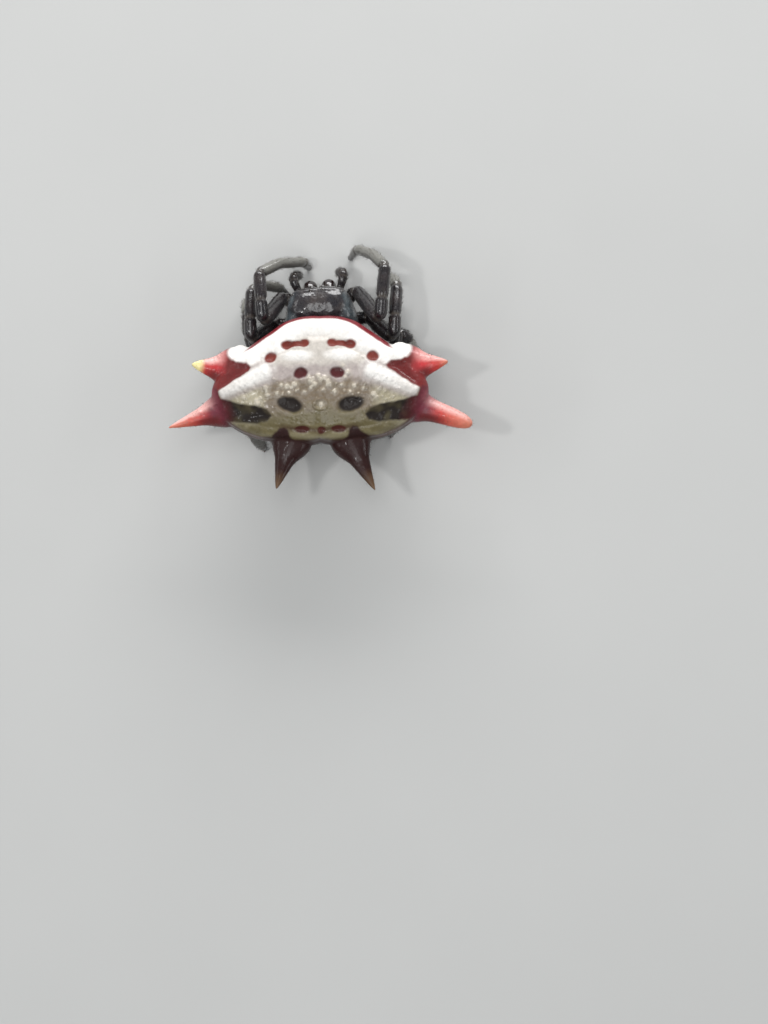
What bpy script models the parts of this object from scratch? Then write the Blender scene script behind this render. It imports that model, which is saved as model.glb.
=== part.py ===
"""Spiny orb weaver, adult female: a still, life-size model standing on its eight feet.

The lengths below are millimetres in a working frame: +Y runs to the head, +X to the spider's right, +Z up,
the floor is z = 0 and the middle of the abdomen's front margin is at x = 0, y = 0. The last step brings the
model to metres, with the origin on the floor under the middle of its box.
"""

import math

import bmesh
import bpy
from mathutils import Matrix, Vector

MM = 0.001
GAP = 0.27
EYE_GAP = 0.10
SPIDER = "spiny_orb_weaver"

# Abdomen: half of the shield's margin seen from above, from the front to the rear
RIM_HEIGHT = 3.30
SHIELD_CENTRE = Vector((0.0, -2.95))
SHIELD_MARGIN = [
    (0.00, -0.04), (1.40, -0.22), (2.20, -0.74), (3.00, -1.30), (3.60, -1.64), (4.30, -2.45),
    (4.64, -3.25), (4.40, -4.10), (3.80, -4.70), (2.80, -5.20), (1.60, -5.38), (0.00, -5.40),
]
DOME_RISE = 1.20
BELLY_DROP = 2.25
BELLY_SHIFT = 0.70
ABDOMEN_SEGMENTS = 56
ABDOMEN_RINGS = 26

# How the shield and the belly draw in, against the way from the rim (0) to the middle (1)
SHIELD_SPREAD = [(0.0, 1.0), (0.14, 0.99), (0.35, 0.88), (0.7, 0.49), (1.0, 0.0)]
SHIELD_RISE = [(0.0, 0.0), (0.14, 0.26), (0.35, 0.62), (0.7, 0.92), (1.0, 1.0)]
BELLY_SPREAD = [(0.0, 1.0), (0.14, 0.97), (0.35, 0.80), (0.6, 0.50), (0.8, 0.27), (0.92, 0.19), (1.0, 0.0)]
BELLY_FALL = [(0.0, 0.0), (0.14, 0.16), (0.35, 0.42), (0.6, 0.70), (0.8, 0.87), (0.92, 0.99), (1.0, 1.0)]

# Spines of the shield: root, bend and tip, half width and half thickness at the root
SPINES = {
    "front": ((3.10, -2.30, 3.05), (4.55, -2.20, 3.35), (5.50, -2.05, 3.62), 0.98, 0.66),
    "side": ((3.20, -3.62, 2.95), (4.85, -4.16, 3.15), (6.50, -4.78, 3.40), 0.80, 0.66),
    "rear": ((1.00, -4.70, 2.85), (1.52, -6.00, 3.05), (1.86, -7.55, 3.40), 0.86, 0.58),
}
SPINE_TAPER = [(0.0, 1.05), (0.3, 1.0), (0.42, 0.80), (0.55, 0.53), (0.75, 0.31), (0.9, 0.16), (1.0, 0.04)]
# The right side spine is slimmer at its root and keeps its thickness almost to the tip
STOUT_TAPER = [(0.0, 1.0), (0.3, 0.90), (0.42, 0.70), (0.55, 0.58), (0.75, 0.50), (0.88, 0.40), (0.96, 0.26), (1.0, 0.1)]
SPINE_SIDES = 12
SPINE_CUTS = 8
RIGHT_LEAN = {"front": (0.0, -0.10), "side": (0.0, -0.10), "rear": (0.50, -0.12)}

# A round knob stands at each front corner of the shield: its centre and radius
KNOB = ((3.40, -1.66, 3.34), 0.46)

# Spinnerets: three pairs on a short ring under the belly's lowest point
SPINNERET_RING_RADIUS = 0.52
SPINNERET_RING_DEPTH = 0.28
SPINNERETS = [(0.22, 0.16, 0.17), (0.27, -0.14, 0.17), (0.10, -0.02, 0.10)]
SPINNERET_LENGTH = 0.24

# The cephalothorax, its jaws and palps and the roots of the legs are turned a little to the left about the neck
NECK = Vector((0.0, -1.60, 0.0))
HEAD_TURN = math.radians(4.0)

# Cephalothorax: half of the carapace's margin from above, and its height above the margin along Y
CARAPACE_CENTRE = Vector((0.0, 0.30))
CARAPACE_MARGIN = [
    (0.00, 1.62), (0.90, 1.57), (1.24, 1.34), (1.38, 0.98), (1.50, 0.50),
    (1.60, -0.05), (1.30, -0.75), (0.70, -1.12), (0.0, -1.20),
]
CARAPACE_MARGIN_HEIGHT = 1.52
CARAPACE_HEIGHT = [(-1.2, 0.35), (-0.7, 0.62), (-0.1, 0.98), (0.45, 1.28), (1.2, 1.34), (1.8, 1.20)]
STERNUM_DROP = 0.88
CARAPACE_SPREAD = [(0.0, 1.0), (0.2, 0.98), (0.5, 0.84), (0.8, 0.46), (1.0, 0.0)]
CARAPACE_RISE = [(0.0, 0.0), (0.2, 0.34), (0.5, 0.76), (0.8, 0.96), (1.0, 1.0)]
STERNUM_SPREAD = [(0.0, 1.0), (0.2, 0.91), (0.4, 0.49), (0.7, 0.42), (0.88, 0.33), (1.0, 0.0)]
STERNUM_FALL = [(0.0, 0.0), (0.2, 0.12), (0.4, 0.27), (0.7, 0.70), (0.88, 0.96), (1.0, 1.0)]
CARAPACE_SEGMENTS = 36
CARAPACE_RINGS = 20

# Eyes of one side: across, height, radius; each sits half sunk in a socket of the head's front
EYES = {
    "front_median": (0.24, 2.22, 0.15),
    "rear_median": (0.27, 2.62, 0.15),
    "front_lateral": (1.00, 2.08, 0.12),
    "rear_lateral": (1.05, 2.42, 0.12),
}

# Jaw of one side: its bulging knee, and the stout base and folded fang below it as one tapered form
JAW_KNEE = ((0.40, 1.98, 1.00), 0.30)
JAW_PATH = [(0.40, 1.98, 1.00), (0.38, 1.82, 0.50), (0.20, 1.62, 0.30)]
JAW_RADII = [0.28, 0.22, 0.05]

# Palp of one side, arched over beside the jaw
PALP_PATH = [(0.95, 1.84, 1.28), (1.04, 2.06, 1.38), (1.09, 2.27, 1.36), (1.02, 2.43, 1.20), (0.90, 2.49, 0.98),
             (0.81, 2.48, 0.70)]
PALP_RADII = [0.16, 0.18, 0.20, 0.20, 0.19, 0.11]

# Pedicel: a point on its line, between the two body parts that it joins
PEDICEL_MIDDLE = Vector((0.0, -1.70, 1.37))
PEDICEL_RADIUS = 0.22

# Legs of one side: the hip, trochanter, knee, shin, ankle, bow of the metatarsus, heel and foot of each
LEG_JOINTS = {
    1: [(0.98, 1.06, 0.84), (1.57, 1.62, 1.10), (2.50, -0.12, 2.92), (2.58, 0.86, 3.06), (2.68, 2.12, 2.74),
        (1.90, 2.70, 2.06), (0.96, 3.03, 0.95), (0.76, 2.96, 0.0)],
    2: [(1.12, 0.36, 0.86), (2.02, 0.38, 1.04), (3.08, -0.78, 2.28), (3.10, 0.22, 2.42), (3.08, 1.54, 1.98),
        (2.66, 1.90, 1.50), (2.04, 1.94, 0.84), (1.72, 1.82, 0.0)],
    3: [(1.10, -0.36, 0.86), (1.90, -0.66, 0.88), (2.94, -1.16, 1.18), (3.26, -0.27, 1.20), (3.34, 0.72, 1.16),
        (3.40, 1.12, 0.96), (3.43, 1.36, 0.60), (3.44, 1.48, 0.0)],
    4: [(0.80, -1.06, 0.86), (1.46, -1.60, 0.86), (2.94, -2.46, 1.16), (3.14, -3.30, 1.34), (3.10, -4.36, 1.08),
        (2.98, -4.74, 0.86), (2.78, -4.92, 0.54), (2.66, -4.98, 0.0)],
}
# The right legs: the first reaches further ahead, the third bends back at its shin, the fourth is drawn in
RIGHT_LEG_JOINTS = {
    1: [(0.98, 1.06, 0.84), (1.57, 1.62, 1.10), (2.52, -0.12, 2.94), (2.62, 0.86, 3.08), (2.72, 2.30, 2.80),
        (2.14, 2.98, 2.16), (1.42, 3.46, 1.24), (0.98, 3.36, 0.0)],
    2: [(1.12, 0.36, 0.86), (2.02, 0.38, 1.04), (3.08, -0.78, 2.28), (3.12, 0.22, 2.44), (3.16, 1.60, 1.98),
        (2.98, 2.06, 1.48), (2.60, 2.28, 0.88), (2.28, 2.36, 0.0)],
    3: [(1.10, -0.36, 0.86), (1.90, -0.68, 0.88), (2.94, -1.20, 1.14), (3.16, -0.18, 1.22), (3.60, -0.50, 0.74),
        (3.76, -0.92, 0.64), (3.90, -1.34, 0.46), (3.94, -1.52, 0.0)],
    4: [(0.80, -1.06, 0.86), (1.46, -1.60, 0.86), (2.94, -2.42, 1.16), (3.20, -3.16, 1.34), (3.12, -4.00, 1.10),
        (3.00, -4.28, 0.88), (2.82, -4.42, 0.56), (2.72, -4.46, 0.0)],
}
LEG_RADII = [0.25, 0.26, 0.26, 0.25, 0.24, 0.24, 0.22, 0.14]
LEG_BULGE = [1.06, 1.28, 1.08, 1.12, 1.04, 1.0, 1.02]
LEG_RESOLUTION = 3
BEND_RADIUS = 0.34
BEND_STEP = math.radians(32)
TOE_OVERRUN = 0.12

COLOURS = {
    "shell_white": ((0.80, 0.74, 0.66), 0.35),
    "spine_red": ((0.42, 0.02, 0.03), 0.30),
    "belly_brown": ((0.16, 0.10, 0.07), 0.55),
    "shell_black": ((0.012, 0.012, 0.014), 0.25),
    "leg_black": ((0.016, 0.015, 0.018), 0.30),
    "eye_black": ((0.004, 0.004, 0.006), 0.05),
    "jaw_brown": ((0.03, 0.012, 0.01), 0.22),
}


def clear_scene():
    for thing in list(bpy.data.objects):
        bpy.data.objects.remove(thing, do_unlink=True)


def collection(name):
    group = bpy.data.collections.new(name)
    bpy.context.scene.collection.children.link(group)
    return group


def material(name):
    """One Principled material of the table above, made once."""
    made = bpy.data.materials.get(name)
    if made is None:
        colour, roughness = COLOURS[name]
        made = bpy.data.materials.new(name)
        made.use_nodes = True
        made.diffuse_color = (*colour, 1.0)
        shader = made.node_tree.nodes["Principled BSDF"]
        shader.inputs["Base Color"].default_value = (*colour, 1.0)
        shader.inputs["Roughness"].default_value = roughness
        shader.inputs["Metallic"].default_value = 0.0
    return made


def smooth(table, t):
    """The value at t of a smooth curve through the (t, value) pairs of a table."""
    if t <= table[0][0]:
        return table[0][1]
    if t >= table[-1][0]:
        return table[-1][1]
    k = max(i for i, pair in enumerate(table) if pair[0] <= t)

    def slope(i):
        before, after = table[max(i - 1, 0)], table[min(i + 1, len(table) - 1)]
        return (after[1] - before[1]) / (after[0] - before[0])

    (t0, v0), (t1, v1) = table[k], table[k + 1]
    span = t1 - t0
    u = (t - t0) / span
    rise = (2 * u - 3) * u * u * (v0 - v1) + v0
    return rise + span * u * (1 - u) * ((1 - u) * slope(k) - u * slope(k + 1))


def polar(outline, centre):
    """Half an outline as (angle, radius) pairs about a centre, from the rear (-90) to the front (+90)."""
    pairs = []
    for x, y in outline:
        arm = Vector((x, y)) - centre
        pairs.append((math.degrees(math.atan2(arm.y, max(arm.x, 0.0))), arm.length))
    return sorted(pairs)


def object_from(bm, name, group):
    mesh = bpy.data.meshes.new(name)
    bm.to_mesh(mesh)
    bm.free()
    thing = bpy.data.objects.new(name, mesh)
    group.objects.link(thing)
    return thing


def rounded_body(name, group, segments, rings, place):
    """A sphere whose points place() moves, given the angle from +X, the way up (-1 to 1) and the side."""
    bm = bmesh.new()
    bmesh.ops.create_uvsphere(bm, u_segments=segments, v_segments=rings, radius=1.0)
    for vertex in bm.verts:
        x, y, z = vertex.co
        angle = math.degrees(math.atan2(y, abs(x)))
        lift = math.asin(max(-1.0, min(1.0, z))) / (math.pi / 2)
        at_pole = abs(lift) > 0.9999
        vertex.co = place(angle, lift, Vector((0.0, 0.0)) if at_pole else Vector((x, y)).normalized())
    return object_from(bm, name, group)


def ball(name, group, centre, radius, detail):
    bm = bmesh.new()
    bmesh.ops.create_icosphere(bm, subdivisions=detail, radius=radius, matrix=Matrix.Translation(centre))
    return object_from(bm, name, group)


def tube(name, group, points, radii, resolution=2):
    """A mesh tube along a path with its own radius at each point, both ends closed."""
    curve = bpy.data.curves.new(name, "CURVE")
    curve.dimensions = "3D"
    curve.bevel_depth = 1.0
    curve.bevel_resolution = resolution
    curve.use_fill_caps = True
    spline = curve.splines.new("POLY")
    spline.points.add(len(points) - 1)
    for point, place, radius in zip(spline.points, points, radii):
        point.co = (*place, 1.0)
        point.radius = radius
    drawn = bpy.data.objects.new(name + "_path", curve)
    group.objects.link(drawn)
    bpy.context.view_layer.update()
    mesh = bpy.data.meshes.new_from_object(drawn.evaluated_get(bpy.context.evaluated_depsgraph_get()))
    bm = bmesh.new()
    bm.from_mesh(mesh)
    bmesh.ops.remove_doubles(bm, verts=bm.verts, dist=1e-5)
    bmesh.ops.recalc_face_normals(bm, faces=bm.faces)
    bpy.data.objects.remove(drawn, do_unlink=True)
    bpy.data.meshes.remove(mesh)
    bpy.data.curves.remove(curve)
    return object_from(bm, name, group)


def bent_path(joints, radii, bulge):
    """Points and radii along straight segments joined by round bends, each segment fuller at its middle."""
    joints = [Vector(joint) for joint in joints]
    points, sizes = [joints[0]], [radii[0]]
    for i in range(1, len(joints)):
        before, here = joints[i - 1], joints[i]
        middle = (before + here) / 2
        points.append(middle)
        sizes.append((radii[i - 1] + radii[i]) / 2 * bulge[i - 1])
        if i == len(joints) - 1:
            points.append(here)
            sizes.append(radii[i])
            break
        way_in = (here - before).normalized()
        way_out = (joints[i + 1] - here).normalized()
        turn = way_in.angle(way_out)
        room = 0.42 * min((here - before).length, (joints[i + 1] - here).length)
        reach = min(BEND_RADIUS * math.tan(turn / 2), room)
        radius = reach / math.tan(turn / 2)
        side = (way_out - way_in * way_in.dot(way_out)).normalized()
        centre = here - way_in * reach + side * radius
        steps = max(1, math.ceil(turn / BEND_STEP))
        for k in range(steps + 1):
            at = turn * k / steps
            points.append(centre - side * radius * math.cos(at) + way_in * radius * math.sin(at))
            sizes.append(radii[i])
    return points, sizes


def unite(body, pieces, group):
    """Joins closed pieces to a body with one Boolean union, and keeps the largest closed surface."""
    scratch = collection(body.name + "_pieces")
    for piece in pieces:
        for owner in list(piece.users_collection):
            owner.objects.unlink(piece)
        scratch.objects.link(piece)
    union = body.modifiers.new("join", "BOOLEAN")
    union.operation = "UNION"
    union.operand_type = "COLLECTION"
    union.collection = scratch
    union.solver = "EXACT"
    apply_modifiers(body)
    for piece in pieces:
        bpy.data.objects.remove(piece, do_unlink=True)
    bpy.data.collections.remove(scratch)
    keep_largest(body)


def cut(body, cutters):
    for cutter in cutters:
        cutter.hide_render = True
        cutter.display_type = "WIRE"
        hollow = body.modifiers.new("cut", "BOOLEAN")
        hollow.operation = "DIFFERENCE"
        hollow.object = cutter
        hollow.solver = "EXACT"
    apply_modifiers(body)
    for cutter in cutters:
        bpy.data.objects.remove(cutter, do_unlink=True)


def apply_modifiers(thing):
    bpy.context.view_layer.update()
    shaped = bpy.data.meshes.new_from_object(thing.evaluated_get(bpy.context.evaluated_depsgraph_get()))
    thing.modifiers.clear()
    old = thing.data
    thing.data = shaped
    bpy.data.meshes.remove(old)


def keep_largest(thing):
    bm = bmesh.new()
    bm.from_mesh(thing.data)
    bmesh.ops.remove_doubles(bm, verts=bm.verts, dist=1e-4)
    left = set(bm.verts)
    shells = []
    while left:
        shell, edge = set(), [left.pop()]
        while edge:
            vertex = edge.pop()
            shell.add(vertex)
            for link in vertex.link_edges:
                other = link.other_vert(vertex)
                if other in left:
                    left.discard(other)
                    edge.append(other)
        shells.append(shell)
    shells.sort(key=len)
    bmesh.ops.delete(bm, geom=[v for shell in shells[:-1] for v in shell], context="VERTS")
    bm.to_mesh(thing.data)
    bm.free()


def finish(thing, *materials):
    for name in materials:
        thing.data.materials.append(material(name))
    thing.data.shade_smooth()
    thing.data.set_sharp_from_angle(angle=math.radians(40))


MARGIN = polar(SHIELD_MARGIN, SHIELD_CENTRE)
CARAPACE = polar(CARAPACE_MARGIN, CARAPACE_CENTRE)


def abdomen_point(angle, lift, side):
    """The shield rises from the rim to a low dome, and the belly falls from it to a blunt cone."""
    reach = smooth(MARGIN, angle)
    if lift >= 0:
        spread, height, shift = smooth(SHIELD_SPREAD, lift), smooth(SHIELD_RISE, lift) * DOME_RISE, 0.0
    else:
        fall = smooth(BELLY_FALL, -lift)
        spread, height, shift = smooth(BELLY_SPREAD, -lift), -fall * BELLY_DROP, fall * BELLY_SHIFT
    flat = SHIELD_CENTRE + side * reach * spread
    return Vector((flat.x, flat.y - shift, RIM_HEIGHT + height))


def spine(name, group, root, bend, tip, width, thickness, taper):
    """A horn with an oval section along a bent line, wide at its root and almost a point at its tip."""
    bm = bmesh.new()
    bmesh.ops.create_cone(
        bm, cap_ends=True, cap_tris=False, segments=SPINE_SIDES, radius1=1.0, radius2=1.0, depth=1.0
    )
    long_edges = [e for e in bm.edges if abs(e.verts[0].co.z - e.verts[1].co.z) > 0.5]
    bmesh.ops.subdivide_edges(bm, edges=long_edges, cuts=SPINE_CUTS, use_grid_fill=True)
    for vertex in bm.verts:
        t = vertex.co.z + 0.5
        along = root * (1 - t) ** 2 + bend * 2 * t * (1 - t) + tip * t * t
        way = ((bend - root) * (1 - t) + (tip - bend) * t).normalized()
        across = way.cross(Vector((0, 0, 1))).normalized()
        upward = across.cross(way)
        size = smooth(taper, t)
        vertex.co = along + across * vertex.co.x * width * size + upward * vertex.co.y * thickness * size
    bmesh.ops.recalc_face_normals(bm, faces=bm.faces)
    return object_from(bm, name, group)


def make_abdomen(group):
    body = rounded_body("abdomen", group, ABDOMEN_SEGMENTS, ABDOMEN_RINGS, abdomen_point)
    horns = []
    for place, (root, bend, tip, width, thickness) in SPINES.items():
        for hand in (-1, 1):
            lean = Vector((*RIGHT_LEAN.get(place, (0.0, 0.0)), 0.0)) if hand == 1 else Vector()
            taper = STOUT_TAPER if (place, hand) == ("side", 1) else SPINE_TAPER
            root_at, bend_at, tip_at = (Vector((hand * x, y, z)) for x, y, z in (root, bend, tip))
            horns.append(spine(f"{place}_spine", group, root_at, bend_at, tip_at + lean, width, thickness, taper))
    (x, y, z), radius = KNOB
    knobs = [ball("knob", group, (hand * x, y, z), radius, 2) for hand in (-1, 1)]
    unite(body, horns + knobs, group)
    finish(body, "shell_white", "spine_red")
    for face in body.data.polygons:
        arm = Vector(face.center[:2]) - SHIELD_CENTRE
        angle = math.degrees(math.atan2(arm.y, abs(arm.x)))
        face.material_index = int(arm.length > smooth(MARGIN, angle) * 1.01)


def make_spinnerets(group):
    """Short cones in three pairs on a low ring."""
    top = RIM_HEIGHT - BELLY_DROP - GAP
    middle = SHIELD_CENTRE.y - BELLY_SHIFT
    ring_path = [(0, middle, top), (0, middle, top - SPINNERET_RING_DEPTH)]
    ring_sizes = [SPINNERET_RING_RADIUS, SPINNERET_RING_RADIUS * 0.86]
    ring = tube("spinnerets", group, ring_path, ring_sizes, resolution=4)
    cones = []
    for across, along, radius in SPINNERETS:
        for hand in (-1, 1):
            foot = (hand * across, middle + along, top - SPINNERET_RING_DEPTH * 0.5)
            waist = (hand * across * 0.94, middle + along, top - SPINNERET_RING_DEPTH - SPINNERET_LENGTH * 0.5)
            end = (hand * across * 0.8, middle + along * 0.9, top - SPINNERET_RING_DEPTH - SPINNERET_LENGTH)
            cones.append(tube("cone", group, [foot, waist, end], [radius, radius * 0.85, radius * 0.35]))
    unite(ring, cones, group)
    finish(ring, "belly_brown")


def carapace_point(angle, lift, side):
    """A high, square head that falls to the rear, over a narrow sternum."""
    reach = smooth(CARAPACE, angle)
    if lift >= 0:
        spread = smooth(CARAPACE_SPREAD, lift)
        flat = CARAPACE_CENTRE + side * reach * spread
        height = smooth(CARAPACE_HEIGHT, flat.y) * smooth(CARAPACE_RISE, lift)
    else:
        flat = CARAPACE_CENTRE + side * reach * smooth(STERNUM_SPREAD, -lift)
        height = -smooth(STERNUM_FALL, -lift) * STERNUM_DROP
    return Vector((flat.x, flat.y, CARAPACE_MARGIN_HEIGHT + height))


def turned(point):
    """A point of the cephalothorax after its turn about the neck."""
    return Matrix.Rotation(HEAD_TURN, 3, "Z") @ (Vector(point) - NECK) + NECK


def turn_with_head(thing):
    thing.data.transform(Matrix.Translation(NECK) @ Matrix.Rotation(HEAD_TURN, 4, "Z") @ Matrix.Translation(-NECK))


def eye_places(head):
    """Where each eye's centre lies: on the head's own surface, found straight back from ahead of it."""
    places = {}
    for name, (across, height, radius) in EYES.items():
        for hand, side in ((-1, "left"), (1, "right")):
            found, spot, _, _ = head.ray_cast(Vector((hand * across, 4.0, height)), Vector((0, -1, 0)))
            if not found:
                raise ValueError(f"no head behind the {name} eye")
            places[f"eye_{name}_{side}"] = (spot, radius)
    return places


def make_head(group, cutters):
    head = rounded_body("cephalothorax", group, CARAPACE_SEGMENTS, CARAPACE_RINGS, carapace_point)
    bpy.context.view_layer.update()
    places = eye_places(head)
    sockets = []
    for name, (spot, radius) in places.items():
        sockets.append(ball(name + "_socket", cutters, spot, radius + EYE_GAP, 2))
    cut(head, sockets)
    keep_largest(head)
    finish(head, "shell_black")
    turn_with_head(head)
    for name, (spot, radius) in places.items():
        finish(ball(name, group, turned(spot), radius, 2), "eye_black")


def make_jaws_and_palps(group):
    for hand, side in ((-1, "left"), (1, "right")):
        points, sizes = bent_path([(hand * x, y, z) for x, y, z in JAW_PATH], JAW_RADII, [1.0] * len(JAW_PATH))
        jaw = tube(f"chelicera_{side}", group, points, sizes)
        (x, y, z), radius = JAW_KNEE
        unite(jaw, [ball("knee", group, (hand * x, y, z), radius, 3)], group)
        finish(jaw, "jaw_brown")
        turn_with_head(jaw)
        points, sizes = bent_path([(hand * x, y, z) for x, y, z in PALP_PATH], PALP_RADII, [1.0] * len(PALP_PATH))
        palp = tube(f"palp_{side}", group, points, sizes)
        finish(palp, "leg_black")
        turn_with_head(palp)


def make_pedicel(group):
    """Runs from the rear of the cephalothorax to the front of the belly, a gap short of each."""
    bpy.context.view_layer.update()
    starts = [PEDICEL_MIDDLE + Vector((0, 0, part * PEDICEL_RADIUS)) for part in (-1.0, 0.0, 1.5)]
    head, abdomen = group.objects["cephalothorax"], group.objects["abdomen"]
    front = min(head.ray_cast(start, Vector((0, 1, 0)))[1].y for start in starts) - GAP
    rear = max(abdomen.ray_cast(start, Vector((0, -1, 0)))[1].y for start in starts) + GAP
    ends = [Vector((0, y, PEDICEL_MIDDLE.z)) for y in (front, rear)]
    finish(tube("pedicel", group, ends, [PEDICEL_RADIUS] * 2, resolution=3), "shell_black")


def stand_on_floor(leg):
    """Trims the toe to a small flat at floor level."""
    bm = bmesh.new()
    bm.from_mesh(leg.data)
    bmesh.ops.bisect_plane(
        bm, geom=bm.verts[:] + bm.edges[:] + bm.faces[:], dist=1e-6,
        plane_co=(0, 0, 0), plane_no=(0, 0, 1), clear_inner=True,
    )
    rim = [edge for edge in bm.edges if edge.is_boundary]
    bmesh.ops.holes_fill(bm, edges=rim, sides=0)
    bmesh.ops.recalc_face_normals(bm, faces=bm.faces)
    for vertex in bm.verts:
        if abs(vertex.co.z) < 1e-5:
            vertex.co.z = 0.0
    bm.to_mesh(leg.data)
    bm.free()


def make_legs(group):
    for hand, side in ((-1, "left"), (1, "right")):
        for number, joints in LEG_JOINTS.items():
            if hand == 1:
                joints = RIGHT_LEG_JOINTS.get(number, joints)
            joints = [Vector((hand * x, y, z)) for x, y, z in joints]
            joints[:2] = [turned(joint) for joint in joints[:2]]
            toe = (joints[-1] - joints[-2]).normalized()
            joints[-1] = joints[-1] + toe * TOE_OVERRUN
            points, sizes = bent_path(joints, LEG_RADII, LEG_BULGE)
            leg = tube(f"leg_{number}_{side}", group, points, sizes, LEG_RESOLUTION)
            stand_on_floor(leg)
            finish(leg, "leg_black")


def settle(group):
    """Brings the model to metres, its origin on the floor under the middle of its box."""
    corners = [vertex.co for thing in group.objects for vertex in thing.data.vertices]
    middle = [(min(c[k] for c in corners) + max(c[k] for c in corners)) / 2 for k in range(2)]
    move = Matrix.Scale(MM, 4) @ Matrix.Translation((-middle[0], -middle[1], 0.0))
    for thing in group.objects:
        thing.data.transform(move)


def main():
    clear_scene()
    spider = collection(SPIDER)
    cutters = collection("cutters")
    make_abdomen(spider)
    make_spinnerets(spider)
    make_head(spider, cutters)
    make_pedicel(spider)
    make_jaws_and_palps(spider)
    make_legs(spider)
    settle(spider)


main()
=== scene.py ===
"""Spiny orb weaver, adult female: the looks of the still, life-size model, dressed over its solids.

Pieces are modelled in millimetres in the maker's frame of the solids: +Y runs to the head, +X to the
spider's right, the floor is z = 0 and the abdomen's front margin lies close to x = 0, y = 0. settle() brings
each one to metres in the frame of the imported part.
"""

import math

import bpy
import numpy as np
from mathutils import Matrix, Vector, noise


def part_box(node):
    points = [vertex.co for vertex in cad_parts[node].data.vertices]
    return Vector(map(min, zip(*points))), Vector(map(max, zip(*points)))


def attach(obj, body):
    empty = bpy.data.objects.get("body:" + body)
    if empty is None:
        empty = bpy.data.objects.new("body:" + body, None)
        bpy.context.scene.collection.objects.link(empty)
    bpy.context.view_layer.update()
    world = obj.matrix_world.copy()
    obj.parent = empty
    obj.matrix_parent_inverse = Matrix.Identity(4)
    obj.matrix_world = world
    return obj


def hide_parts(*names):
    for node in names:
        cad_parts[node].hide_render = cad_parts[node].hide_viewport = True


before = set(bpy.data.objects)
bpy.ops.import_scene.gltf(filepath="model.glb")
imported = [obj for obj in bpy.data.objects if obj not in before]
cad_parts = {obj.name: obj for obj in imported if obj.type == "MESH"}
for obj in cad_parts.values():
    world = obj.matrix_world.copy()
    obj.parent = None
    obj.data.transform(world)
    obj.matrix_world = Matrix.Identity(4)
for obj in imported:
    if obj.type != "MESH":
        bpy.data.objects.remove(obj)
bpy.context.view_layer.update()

MM = 0.001
SIDES = ((-1, "left"), (1, "right"))
FRONT_MARGIN = -0.04
FRAME_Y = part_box("abdomen")[1].y / MM - FRONT_MARGIN

# Shield and belly, as in the solids
RIM_HEIGHT = 3.30
SHIELD_CENTRE = np.array((0.0, -2.95))
SHIELD_MARGIN = [
    (0.00, -0.04), (1.40, -0.22), (2.20, -0.74), (3.00, -1.30), (3.60, -1.64), (4.30, -2.45),
    (4.64, -3.25), (4.40, -4.10), (3.80, -4.70), (2.80, -5.20), (1.60, -5.38), (0.00, -5.40),
]
DOME_RISE = 1.20
BELLY_DROP = 2.25
BELLY_SHIFT = 0.70
SHIELD_SPREAD = [(0.0, 1.0), (0.14, 0.99), (0.35, 0.88), (0.7, 0.49), (1.0, 0.0)]
SHIELD_RISE = [(0.0, 0.0), (0.14, 0.26), (0.35, 0.62), (0.7, 0.92), (1.0, 1.0)]
BELLY_SPREAD = [(0.0, 1.0), (0.14, 0.97), (0.35, 0.80), (0.6, 0.50), (0.8, 0.27), (0.92, 0.19), (1.0, 0.0)]
BELLY_FALL = [(0.0, 0.0), (0.14, 0.16), (0.35, 0.42), (0.6, 0.70), (0.8, 0.87), (0.92, 0.99), (1.0, 1.0)]
# Millimetres between the shield's centre and its margin, on average: what a share of the reach stands for
MARGIN_WIDTH = 2.9

# Spines of the shield: root, bend and tip, half width and half thickness at the root
SPINES = {
    "front": ((3.10, -2.30, 3.05), (4.55, -2.20, 3.35), (5.50, -2.05, 3.62), 0.98, 0.66),
    "side": ((3.20, -3.62, 2.95), (4.85, -4.16, 3.15), (6.50, -4.78, 3.40), 0.80, 0.66),
    "rear": ((1.00, -4.70, 2.85), (1.52, -6.00, 3.05), (1.86, -7.55, 3.40), 0.86, 0.58),
}
SPINE_TAPER = [(0.0, 1.05), (0.3, 1.0), (0.42, 0.80), (0.55, 0.53), (0.75, 0.31), (0.9, 0.16), (1.0, 0.04)]
STOUT_TAPER = [(0.0, 1.0), (0.3, 0.90), (0.42, 0.70), (0.55, 0.58), (0.75, 0.50), (0.88, 0.40), (0.96, 0.26),
               (1.0, 0.1)]
RIGHT_LEAN = {"front": (0.0, -0.10), "side": (0.0, -0.10), "rear": (0.50, -0.12)}
# Share of a spine's length along which the underside of its root is rounded
ROOT_ROUNDING = 0.30
KNOB = ((3.40, -1.66, 3.34), 0.46)
# The knobs' white caps are centred this much above the knobs, and fade out between two depths below the rim
KNOB_CAP_LIFT = 0.15
KNOB_CAP_END = (0.45, 0.30)
ABDOMEN_VOXEL = 0.044

# Sunken spots of the shield, in pairs: the left and the right one's x, then y, half length, half width, turn
# of the right one in degrees, depth and colour
SPOTS = [
    (-0.60, 0.60, -1.40, 0.22, 0.20, 0, 0.07, "rust"),
    (-1.34, 1.36, -1.45, 0.26, 0.21, -8, 0.07, "rust"),
    (-0.97, 0.98, -1.42, 0.44, 0.15, -3, 0.06, "rust"),
    (-2.03, 2.31, -2.01, 0.27, 0.24, -30, 0.08, "rust"),
    (-0.73, 0.82, -2.74, 0.31, 0.25, -15, 0.08, "dark_maroon"),
    (-1.19, 1.40, -4.08, 0.56, 0.31, 14, 0.09, "shell_black"),
    (-0.71, 0.86, -5.10, 0.31, 0.14, 0, 0.05, "dark_rust"),
    (0.12, 0.12, -5.13, 0.17, 0.13, 0, 0.04, "dark_rust"),
]

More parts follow.
